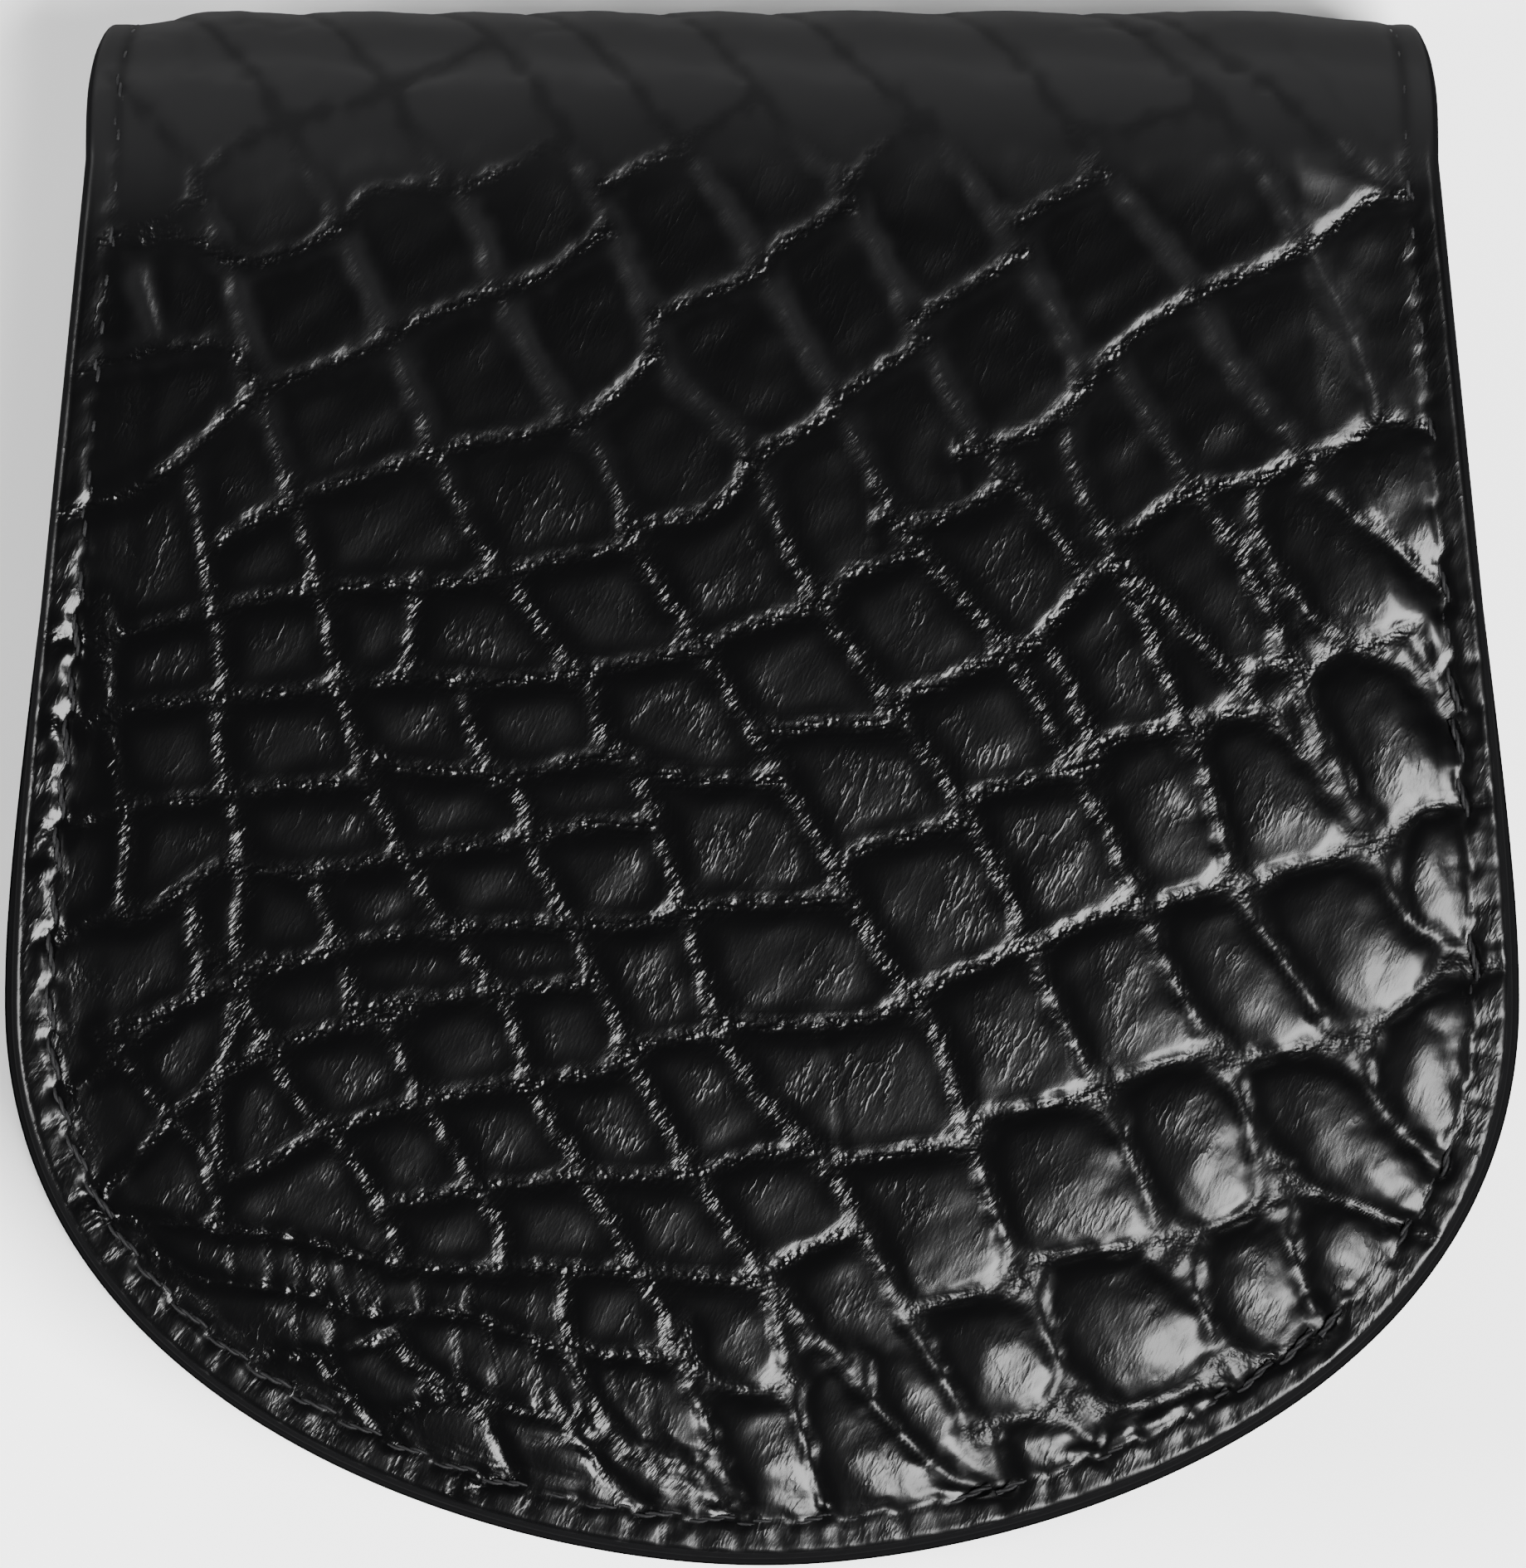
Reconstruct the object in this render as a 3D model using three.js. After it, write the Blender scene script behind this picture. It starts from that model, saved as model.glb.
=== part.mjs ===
// A horseshoe coin wallet in crocodile leather, lying on its back with the flap closed.
// Millimetres. +X is the wallet's width, +Y points to the fold at its straight end, +Z points up
// out of the flap. The origin is the middle of the footprint, on the surface that it rests on.

import * as THREE from 'three';
import { mergeVertices } from 'three/addons/utils/BufferGeometryUtils.js';

// ---- Driving dimensions ----

const LENGTH = 87;                 // body tip to the crest of the fold
const FLAP_HALF_WIDTH = 41.6;      // at the widest line
const FOLD_HALF_WIDTH = 37.5;      // at the straight end
const WIDEST_FROM_FOLD = 55.3;     // crest of the fold to the widest line
const BODY_PROUD = 1;              // the back panel stands out past the flap, round the free edge
const TIP_FLATNESS = 0.365;        // pull of the outline's rounded end, as a share of the half width
const SHOULDER_REACH = 0.72;       // how far the full width holds on towards the tip
const SIDE_REACH = 7.6;            // how far it holds on towards the fold
const SIDE_FULLNESS = 0.74;        // pull of the tapering side, as a share of the widening

const RIM_THICKNESS = 1.8;         // pressed border outside the stitches
const PUFF = 0.6;                  // padding's extra thickness inside the stitches
const FLAP_CROWN = 0.4;            // further rise in the middle of the flap
const CAVITY = 12;                 // clear height between back panel and flap
const FOLD_WAIST = 0.8;            // the border draws in where it goes round the fold

const LEATHER = 1;                 // gusset and pocket panel
const GAP = 0.3;                   // between pieces that lie on each other
const GUSSET_INSET = 3.6;          // flap edge to the gusset's outer face
const FLANGE_EDGE_INSET = 1.2;     // flap edge to the sewn flange's edge
const TOP_TURN_INSET = 8;          // flap edge to the edge of the gusset's top turn
const GUSSET_BEND = 0.7;           // radius of the gusset's folded corners, at mid thickness

const MOUTH_FROM_FOLD = 23;        // crest of the fold to the corners of the pocket's mouth
const MOUTH_SCOOP = 5;             // depth of the thumb curve in the pocket's mouth
const PANEL_INSET = 3.8;           // flap edge to the pocket panel's edge
const PANEL_LIFT = 0.75;           // height of the panel in the cavity, as a share of it

const STUD_RADIUS = 5.5;
const STUD_ROUNDING = 0.2;         // softened edges of the press stud
const STUD_SIDES = 32;
const STUD_FROM_TIP = 20;          // flap's tip to the middle of the press stud

// ---- Heights and places that follow from them ----

const FULL = RIM_THICKNESS + PUFF;
const INNER_RADIUS = CAVITY / 2;
const MID_Z = FULL + INNER_RADIUS;
const CREST_Y = LENGTH / 2;
const FOLD_Y = CREST_Y - INNER_RADIUS - FULL;
const FOLD_TURN = Math.PI * (INNER_RADIUS + FULL / 2);
const FLAP_TIP_Y = BODY_PROUD - LENGTH / 2;
const WIDEST_Y = CREST_Y - WIDEST_FROM_FOLD;
const PANEL_Z = FULL + 2 * GAP + CAVITY * PANEL_LIFT;
const STUD_Y = FLAP_TIP_Y + STUD_FROM_TIP;

const CROCODILE = { color: 0x0b0b0c, roughness: 0.3, metalness: 0 };
const SMOOTH = { color: 0x101011, roughness: 0.5, metalness: 0 };
const METAL = { color: 0x8d8f92, roughness: 0.35, metalness: 1 };

// ---- Half outline of the flap and of the body under it ----

const END_STEPS = 15;
const SIDE_STEPS = 7;
const FOLD_STEPS = 10;
const GUSSET_FOLD_STEPS = 3;
const ACROSS = 8;
const MOUTH_STEPS = 12;

// Right half of the free edge: from the tip round to the widest line, then up to the fold.
function freeEdge(grow) {
  const wide = FLAP_HALF_WIDTH + grow;
  const tip = FLAP_TIP_Y - grow;
  const end = new THREE.CubicBezierCurve(
    new THREE.Vector2(0, tip),
    new THREE.Vector2(wide * TIP_FLATNESS, tip),
    new THREE.Vector2(wide, THREE.MathUtils.lerp(WIDEST_Y, tip, SHOULDER_REACH)),
    new THREE.Vector2(wide, WIDEST_Y),
  );
  const side = new THREE.CubicBezierCurve(
    new THREE.Vector2(wide, WIDEST_Y),
    new THREE.Vector2(wide, WIDEST_Y + SIDE_REACH),
    new THREE.Vector2(THREE.MathUtils.lerp(FOLD_HALF_WIDTH, wide, SIDE_FULLNESS), FOLD_Y / 8),
    new THREE.Vector2(FOLD_HALF_WIDTH, FOLD_Y),
  );
  return [...end.getPoints(END_STEPS), ...side.getPoints(SIDE_STEPS).slice(1)];
}

// The cover's cut pattern, right half. v is 0 where the flap meets the fold, less than 0 on the
// flap, and past FOLD_TURN on the back panel.
function coverEdge() {
  const flap = freeEdge(0).map((p) => new THREE.Vector2(p.x, p.y - FOLD_Y));
  const fold = [];
  for (let i = 1; i < FOLD_STEPS; i += 1) {
    const turn = i / FOLD_STEPS;
    const waist = FOLD_WAIST * Math.sin(Math.PI * turn) ** 4;
    fold.push(new THREE.Vector2(FOLD_HALF_WIDTH - waist, FOLD_TURN * turn));
  }
  const back = freeEdge(BODY_PROUD).reverse().map((p) => new THREE.Vector2(p.x, FOLD_TURN + FOLD_Y - p.y));
  return [...flap, ...fold, ...back];
}

// Unit normals into the leather at each point of a half outline that starts (and may end) on the
// centre line.
function inwardNormals(edge, endsOnAxis) {
  return edge.map((point, i) => {
    if (i === 0) return new THREE.Vector2(0, 1);
    if (endsOnAxis && i === edge.length - 1) return new THREE.Vector2(0, -1);
    const next = edge[Math.min(i + 1, edge.length - 1)];
    const along = next.clone().sub(edge[i - 1]).normalize();
    return new THREE.Vector2(-along.y, along.x);
  });
}

function inset(point, normal, distance) {
  const moved = point.clone().addScaledVector(normal, distance);
  moved.x = Math.max(moved.x, 0);
  return moved;
}

// ---- Lofting ----

// Joins rows of points into one closed body. Each row is a closed loop, and end rows are capped
// by the list of triangles that they are given, or have none where they close on themselves.
function loft(rows, firstCap = [], lastCap = []) {
  const count = rows[0].length;
  const positions = rows.flat().flatMap((p) => [p.x, p.y, p.z]);
  const index = [];
  for (let i = 0; i + 1 < rows.length; i += 1) {
    for (let j = 0; j < count; j += 1) {
      const a = i * count + j;
      const b = i * count + ((j + 1) % count);
      index.push(a, b, b + count, a, b + count, a + count);
    }
  }
  const last = (rows.length - 1) * count;
  firstCap.forEach(([a, b, c]) => index.push(a, c, b));
  lastCap.forEach(([a, b, c]) => index.push(last + a, last + b, last + c));
  const geometry = new THREE.BufferGeometry();
  geometry.setAttribute('position', new THREE.Float32BufferAttribute(positions, 3));
  geometry.setIndex(index);
  const merged = mergeVertices(geometry, 1e-4);
  const kept = [];
  const corners = merged.index.array;
  for (let i = 0; i < corners.length; i += 3) {
    const [a, b, c] = [corners[i], corners[i + 1], corners[i + 2]];
    if (a !== b && b !== c && c !== a) kept.push(a, b, c);
  }
  merged.setIndex(kept);
  merged.computeVertexNormals();
  return merged;
}

// ---- Outer cover: flap, fold and back panel in one piece ----

// Section of the cover's border, from the middle of its round edge inwards.
const BORDER_OUTSIDE = [
  { inset: 0, height: RIM_THICKNESS * 0.5 },
  { inset: 0.25, height: RIM_THICKNESS * 0.85 },
  { inset: 0.9, height: RIM_THICKNESS },
  { inset: 2.3, height: RIM_THICKNESS },
  { inset: 3.1, height: RIM_THICKNESS + PUFF * 0.55 },
  { inset: 4.6, height: FULL },
];
const BORDER_INSIDE = [
  { inset: 4.6, height: 0 },
  { inset: 0.9, height: 0 },
  { inset: 0.25, height: RIM_THICKNESS * 0.15 },
];

// Bends the cut pattern round the fold. height is measured from the inner face.
function wrap(u, v, height) {
  const radius = INNER_RADIUS + height;
  if (v < 0) return new THREE.Vector3(u, FOLD_Y + v, MID_Z + radius);
  if (v > FOLD_TURN) return new THREE.Vector3(u, FOLD_Y - (v - FOLD_TURN), MID_Z - radius);
  const angle = (Math.PI * v) / FOLD_TURN;
  return new THREE.Vector3(u, FOLD_Y + radius * Math.sin(angle), MID_Z + radius * Math.cos(angle));
}

// Rise of the flap's middle over its border; there is none on the fold and the back panel.
function crown(across, v) {
  if (v >= 0) return 0;
  const along = (2 * v) / (FLAP_TIP_Y - FOLD_Y) - 1;
  return FLAP_CROWN * (1 - across * across) * (1 - along * along);
}

function buildCover() {
  const edge = coverEdge();
  const normals = inwardNormals(edge, true);
  const rows = edge.map((point, i) => {
    const at = (side, { inset: distance, height }) => {
      const p = inset(point, normals[i], distance);
      return wrap(side * p.x, p.y, height);
    };
    const inner = inset(point, normals[i], BORDER_OUTSIDE.at(-1).inset);
    const middle = (height, crowned) => {
      const found = [];
      for (let k = 1; k < ACROSS; k += 1) {
        const across = (2 * k) / ACROSS - 1;
        const rise = crowned ? crown(across, inner.y) : 0;
        found.push(wrap(across * inner.x, inner.y, height + rise));
      }
      return found;
    };
    return [
      ...BORDER_OUTSIDE.map((ring) => at(-1, ring)),
      ...middle(FULL, true),
      ...BORDER_OUTSIDE.toReversed().map((ring) => at(1, ring)),
      ...BORDER_INSIDE.toReversed().map((ring) => at(1, ring)),
      ...middle(0, false).reverse(),
      ...BORDER_INSIDE.map((ring) => at(-1, ring)),
    ];
  });
  return loft(rows);
}

// ---- Gusset: one strip, sewn to the back panel by its flange and turned in under the pocket ----

// Middle line of the strip's section: inset from the flap's edge, and height.
function gussetLine() {
  const low = FULL + GAP + LEATHER / 2;
  const high = PANEL_Z - GAP - LEATHER / 2;
  const wall = GUSSET_INSET + LEATHER / 2;
  return [
    { inset: FLANGE_EDGE_INSET, z: low },
    { inset: wall - GUSSET_BEND, z: low },
    { inset: wall, z: low + GUSSET_BEND },
    { inset: wall, z: high - GUSSET_BEND },
    { inset: wall + GUSSET_BEND, z: high },
    { inset: TOP_TURN_INSET, z: high },
  ];
}

// Closed section of a strip, LEATHER thick, along a middle line: up one face and back down the other.
function stripSection(line) {
  const face = (side) => line.map((p, i) => {
    const before = line[Math.max(i - 1, 0)];
    const after = line[Math.min(i + 1, line.length - 1)];
    const along = new THREE.Vector2(after.inset - before.inset, after.z - before.z).normalize();
    const half = (side * LEATHER) / 2;
    return { inset: p.inset - along.y * half, z: p.z + along.x * half };
  });
  return [...face(1), ...face(-1).reverse()];
}

// Inside the fold the strip's height follows the round of the leather about it.
function foldedHeight(z, y) {
  const depth = Math.max(y - FOLD_Y, 0) / (INNER_RADIUS - GAP);
  return MID_Z + (z - MID_Z) * Math.sqrt(Math.max(1 - depth * depth, 0));
}

function buildGusset() {
  const edge = freeEdge(0);
  const reach = INNER_RADIUS - 4 * GAP;
  for (let i = 1; i <= GUSSET_FOLD_STEPS; i += 1) {
    edge.push(new THREE.Vector2(FOLD_HALF_WIDTH, FOLD_Y + (reach * i) / GUSSET_FOLD_STEPS));
  }
  const normals = inwardNormals(edge, false);
  const section = stripSection(gussetLine());
  const row = (side) => (point, i) => section.map((ring) => {
    const p = inset(point, normals[i], ring.inset);
    return new THREE.Vector3(side * p.x, p.y, foldedHeight(ring.z, p.y));
  });
  const right = edge.map(row(1)).reverse();
  const left = edge.map(row(-1)).slice(1);
  const half = section.length / 2;
  const cap = [];
  for (let j = 0; j + 1 < half; j += 1) {
    const across = section.length - 1 - j;
    cap.push([j, j + 1, across], [j + 1, across - 1, across]);
  }
  return loft([...right, ...left], cap, cap);
}

// ---- Pocket panel: the front of the coin pocket, open towards the fold ----

function buildPocketPanel() {
  const mouthY = CREST_Y - MOUTH_FROM_FOLD;
  const edge = freeEdge(0);
  const normals = inwardNormals(edge, false);
  const half = edge.map((p, i) => inset(p, normals[i], PANEL_INSET)).filter((p) => p.y < mouthY);
  const corner = half.at(-1).x;
  const shape = new THREE.Shape(half);
  shape.lineTo(corner, mouthY);
  shape.quadraticCurveTo(0, mouthY - 2 * MOUTH_SCOOP, -corner, mouthY);
  half.slice(1).reverse().forEach((p) => shape.lineTo(-p.x, p.y));
  const geometry = new THREE.ExtrudeGeometry(shape, { depth: LEATHER, bevelEnabled: false, curveSegments: MOUTH_STEPS });
  geometry.translate(0, 0, PANEL_Z);
  return geometry;
}

// ---- Press stud: one plain piece in the gap between the pocket panel and the flap ----

function buildSnapStud() {
  const low = PANEL_Z + LEATHER + GAP;
  const high = MID_Z + INNER_RADIUS - GAP;
  const flat = STUD_RADIUS - STUD_ROUNDING;
  const profile = [
    new THREE.Vector2(0, low),
    new THREE.Vector2(flat, low),
    new THREE.Vector2(STUD_RADIUS, low + STUD_ROUNDING),
    new THREE.Vector2(STUD_RADIUS, high - STUD_ROUNDING),
    new THREE.Vector2(flat, high),
    new THREE.Vector2(0, high),
  ];
  const geometry = new THREE.LatheGeometry(profile, STUD_SIDES);
  geometry.rotateX(Math.PI / 2);
  geometry.translate(0, STUD_Y, 0);
  return geometry;
}

// ---- The wallet ----

const wallet = new THREE.Group();

function addPiece(name, geometry, finish) {
  const mesh = new THREE.Mesh(geometry, new THREE.MeshStandardMaterial(finish));
  mesh.name = name;
  wallet.add(mesh);
}

addPiece('outer_cover', buildCover(), CROCODILE);
addPiece('gusset', buildGusset(), SMOOTH);
addPiece('pocket_panel', buildPocketPanel(), SMOOTH);
addPiece('snap_stud', buildSnapStud(), METAL);

export default wallet;
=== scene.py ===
"""Looks of a horseshoe coin wallet: crocodile cover, gusset, pocket panel, press stud and stitches.

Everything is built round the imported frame. Sizes are millimetres until a mesh is made; MM turns
them into metres. The cover is worked out on its flat cut pattern and then bent round the fold.
"""

import math

import bpy
import numpy as np
from bpy.props import FloatProperty, FloatVectorProperty
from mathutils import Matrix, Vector


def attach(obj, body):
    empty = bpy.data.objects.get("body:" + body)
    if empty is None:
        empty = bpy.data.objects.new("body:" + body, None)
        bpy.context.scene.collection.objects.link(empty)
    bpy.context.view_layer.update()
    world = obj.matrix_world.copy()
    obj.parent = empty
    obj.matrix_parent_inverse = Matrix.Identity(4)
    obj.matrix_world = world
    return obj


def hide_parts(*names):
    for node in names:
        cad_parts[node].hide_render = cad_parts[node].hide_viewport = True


bl_info = {
    "name": "Horseshoe Coin Wallet",
    "version": (1, 0, 0),
    "blender": (4, 5, 0),
    "location": "3D View > Sidebar > Wallet",
    "description": "Builds the leather, stitches, stud and studio of a horseshoe coin wallet",
    "category": "Add Mesh",
}

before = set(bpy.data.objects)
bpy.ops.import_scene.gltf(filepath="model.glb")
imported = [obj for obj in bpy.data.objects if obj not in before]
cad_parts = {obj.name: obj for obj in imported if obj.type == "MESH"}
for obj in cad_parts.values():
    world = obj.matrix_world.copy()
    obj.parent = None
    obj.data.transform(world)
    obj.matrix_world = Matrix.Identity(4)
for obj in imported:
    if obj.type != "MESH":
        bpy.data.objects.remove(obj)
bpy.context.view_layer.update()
BODY = "root"
MM = 0.001

# ---- Driving dimensions, the same as the part's ----

LENGTH = 87
FLAP_HALF_WIDTH = 41.6
FOLD_HALF_WIDTH = 37.5
WIDEST_FROM_FOLD = 55.3
BODY_PROUD = 1
TIP_FLATNESS = 0.365
SHOULDER_REACH = 0.72
SIDE_REACH = 7.6
SIDE_FULLNESS = 0.74
RIM_THICKNESS = 1.8
PUFF = 0.6
FLAP_CROWN = 0.4
CAVITY = 12
FOLD_WAIST = 0.8
LEATHER = 1
GAP = 0.3
GUSSET_INSET = 3.6
FLANGE_EDGE_INSET = 1.2
TOP_TURN_INSET = 8
GUSSET_BEND = 0.7
MOUTH_FROM_FOLD = 23
MOUTH_SCOOP = 5
PANEL_INSET = 3.8
PANEL_LIFT = 0.75
STUD_RADIUS = 5.5
STUD_FROM_TIP = 20

FULL = RIM_THICKNESS + PUFF
INNER_RADIUS = CAVITY / 2
OUTER_RADIUS = INNER_RADIUS + FULL
MID_Z = FULL + INNER_RADIUS
CREST_Y = LENGTH / 2
FOLD_Y = CREST_Y - OUTER_RADIUS
FOLD_TURN = math.pi * (INNER_RADIUS + FULL / 2)
FLAP_TIP_Y = BODY_PROUD - LENGTH / 2
WIDEST_Y = CREST_Y - WIDEST_FROM_FOLD
PANEL_Z = FULL + 2 * GAP + CAVITY * PANEL_LIFT
STUD_Y = FLAP_TIP_Y + STUD_FROM_TIP

# ---- Chart of the skin's grooves ----

# Long grooves that fall from the fold towards the toe, from left to right. Each point is
# (across, down): millimetres right of the middle, and down from the crest as seen from above.
FALLS = {
    "left_margin_high": ((-34.6, 14.8), (-34, 17), (-33.6, 18.8)),
    "left_margin": ((-36.6, 33), (-36, 41), (-35, 44.8), (-35.3, 48.6), (-35.1, 50)),
    "left_margin_low": ((-31.5, 49.6), (-31.2, 51.6), (-31, 54.4)),
    "left_outer": ((-31.6, 25.4), (-30.3, 32.8), (-29.8, 36.4), (-29.9, 41.2), (-28.7, 46.3),
        (-29, 52)),
    "left_inner": ((-36, 3.6), (-33, 6.8), (-31.2, 9.6), (-29.2, 15.2), (-27.7, 21.4),
        (-24.8, 30.6), (-22.7, 39.8), (-20.2, 46.2), (-17.4, 50.8), (-13.8, 56), (-12.6, 60),
        (-9, 66), (-5.8, 71.6), (-3.2, 78), (-1.2, 83.4)),
    "first": ((-31.5, 0.5), (-28.2, 3.8), (-25, 9), (-22, 15), (-19.2, 21.4), (-17.8, 25),
        (-15.6, 29.6), (-12.2, 34.2), (-9.3, 38.2), (-8.7, 40.6), (-6.8, 42.6), (-4.2, 50),
        (-2.7, 55.2), (-0.2, 60.2), (3.6, 64.2), (6.2, 68.8), (8.8, 73.8), (12.4, 79.8),
        (13.8, 82.2)),
    "second": ((-24.5, 0.5), (-19.6, 6.4), (-15.8, 12), (-14.6, 15.6), (-11.4, 21.6), (-8.5, 25.4),
        (-6.3, 31), (-2.7, 36.4), (0.6, 41.8), (3.8, 47.2), (7, 53), (9.8, 57), (11.6, 62.6),
        (13.8, 68.8), (16.2, 74.4), (18.4, 79.4)),
    "third": ((-17, 0.4), (-13.6, 3), (-9.2, 10.2), (-6.2, 17), (-4.8, 20.6), (-0.4, 25),
        (1.8, 30.6), (5.6, 36.4), (9.6, 42), (13, 47.6), (15.3, 53), (18, 58.6), (20.8, 64.4),
        (23.4, 70), (26, 75.4)),
    "fourth": ((-11.5, 0.5), (-6.4, 5.2), (-2.6, 10), (1.3, 16.8), (5, 23.4), (8.2, 29.4),
        (12.8, 34.6), (16.4, 40.4), (19.4, 46), (22.4, 53), (26, 59.4), (28.2, 65.6), (31, 73.4)),
    "fifth": ((-4.5, 0.4), (1.4, 7), (4.4, 10), (8.4, 17.2), (12, 24), (16.2, 28.8), (17.4, 31)),
    "fifth_low": ((16, 35.6), (17.4, 38), (18.6, 41.8)),
    "sixth": ((2.4, 0.6), (6, 3.8), (9.6, 7), (14.8, 14.4), (17.8, 20.6), (17, 23.8), (19.2, 29.6),
        (22.8, 33.6), (28.6, 39.8), (33, 45)),
    "sixth_low": ((20.2, 31.6), (22.8, 38), (24.6, 42.6), (26.6, 49), (30.6, 55.2), (34.8, 61.6),
        (37.6, 64.4)),
    "seventh": ((11, 0.4), (14.2, 2.8), (19, 9.4), (23.2, 14.4), (26, 19.8), (30.6, 25.4)),
    "seventh_low": ((19.6, 19.8), (22.8, 24.8), (27.3, 31.8), (29.7, 37.6), (32.2, 43),
        (35.2, 49.6), (38.8, 53)),
    "eighth_low": ((27.3, 26.8), (27.8, 30), (31.2, 34.4), (35.4, 36.6), (38.4, 39.8)),
    "eighth": ((20, 0.8), (24.6, 4.8), (27.8, 9.2), (31.8, 16.2), (34, 21.4), (34, 23)),
    "ninth": ((24.2, 1.6), (29, 5.2), (35.4, 10.2)),
    "right_margin": ((30.6, 26.4), (34.2, 29.4), (37.8, 32.4)),
    "right_margin_end": ((36, 35.2), (37.8, 38.4), (38.8, 40)),
    "between_low": ((-16.3, 37.6), (-15.8, 40.6), (-12.8, 44.8), (-12.4, 47.2), (-10, 51.8),
        (-7.5, 57.4), (-5, 62.4), (-2, 67.2), (0.7, 71.8), (1.8, 77.4), (3.4, 83)),
    "between_short": ((-18.8, 32.2), (-19.2, 34), (-19.6, 36.8)),
    "toe_left_outer": ((-28.4, 55), (-26, 60), (-22.6, 63.8), (-20.3, 68), (-20, 69.6)),
    "toe_left_inner": ((-21.2, 55.6), (-18.6, 60.6), (-14.7, 67), (-14.3, 70)),
    "toe_left_steep": ((-28.8, 54.8), (-29.9, 60), (-30, 64.4)),
    "toe_left_margin": ((-36.3, 57), (-33.6, 60.4), (-30.6, 64), (-29.8, 67.8)),
    "short_a": ((-24.6, 48.4), (-24, 50.2), (-23.5, 51.8)),
    "short_b": ((-23, 53.6), (-22.4, 55.2)),
    "toe_a": ((-20.2, 73.8), (-18.4, 75.6), (-15.8, 77.2), (-13.6, 81.4)),
    "toe_b": ((-24.4, 75), (-23, 76.8), (-20.2, 79.4)),
    "toe_c": ((-10.9, 70.4), (-10.6, 74.6)),
    "toe_d": ((-10.4, 75), (-7.8, 79.2), (-3.6, 81), (-2, 82.6)),
    "toe_e": ((-11.4, 77), (-8.4, 81.4), (-6.4, 83)),
    "toe_h": ((-20.6, 74.2), (-17.4, 76.2), (-13.7, 77.6), (-10.2, 78.6), (-7, 80.2),
        (-3.4, 82.2)),
    "toe_f": ((5, 75), (6, 77), (9.6, 80.8), (12, 82)),
    "toe_g": ((1.2, 71.4), (3.2, 73.8), (5.2, 75.2)),
}
# Short grooves between two rows of the smallest scales: (across, from, to).
TICKS = (
    (-29.5, 68, 70.5), (-27.4, 68, 70.7), (-25.8, 68.4, 71), (-24.6, 68.6, 71.2), (-23.3, 69, 72),
    (-22.2, 69.2, 72.4), (-21.4, 69.6, 72.6), (-19, 70, 72.7), (-16.3, 70, 72.4), (-26, 71.3, 74.6),
    (-23.9, 72, 74.4), (-17, 72.6, 75.4), (-15, 73.4, 76.2), (-12.6, 74.4, 77.4),
    (-10.2, 74.8, 77.8), (-8.4, 75, 78.6), (-6.4, 75.2, 79.4),
)
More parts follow.
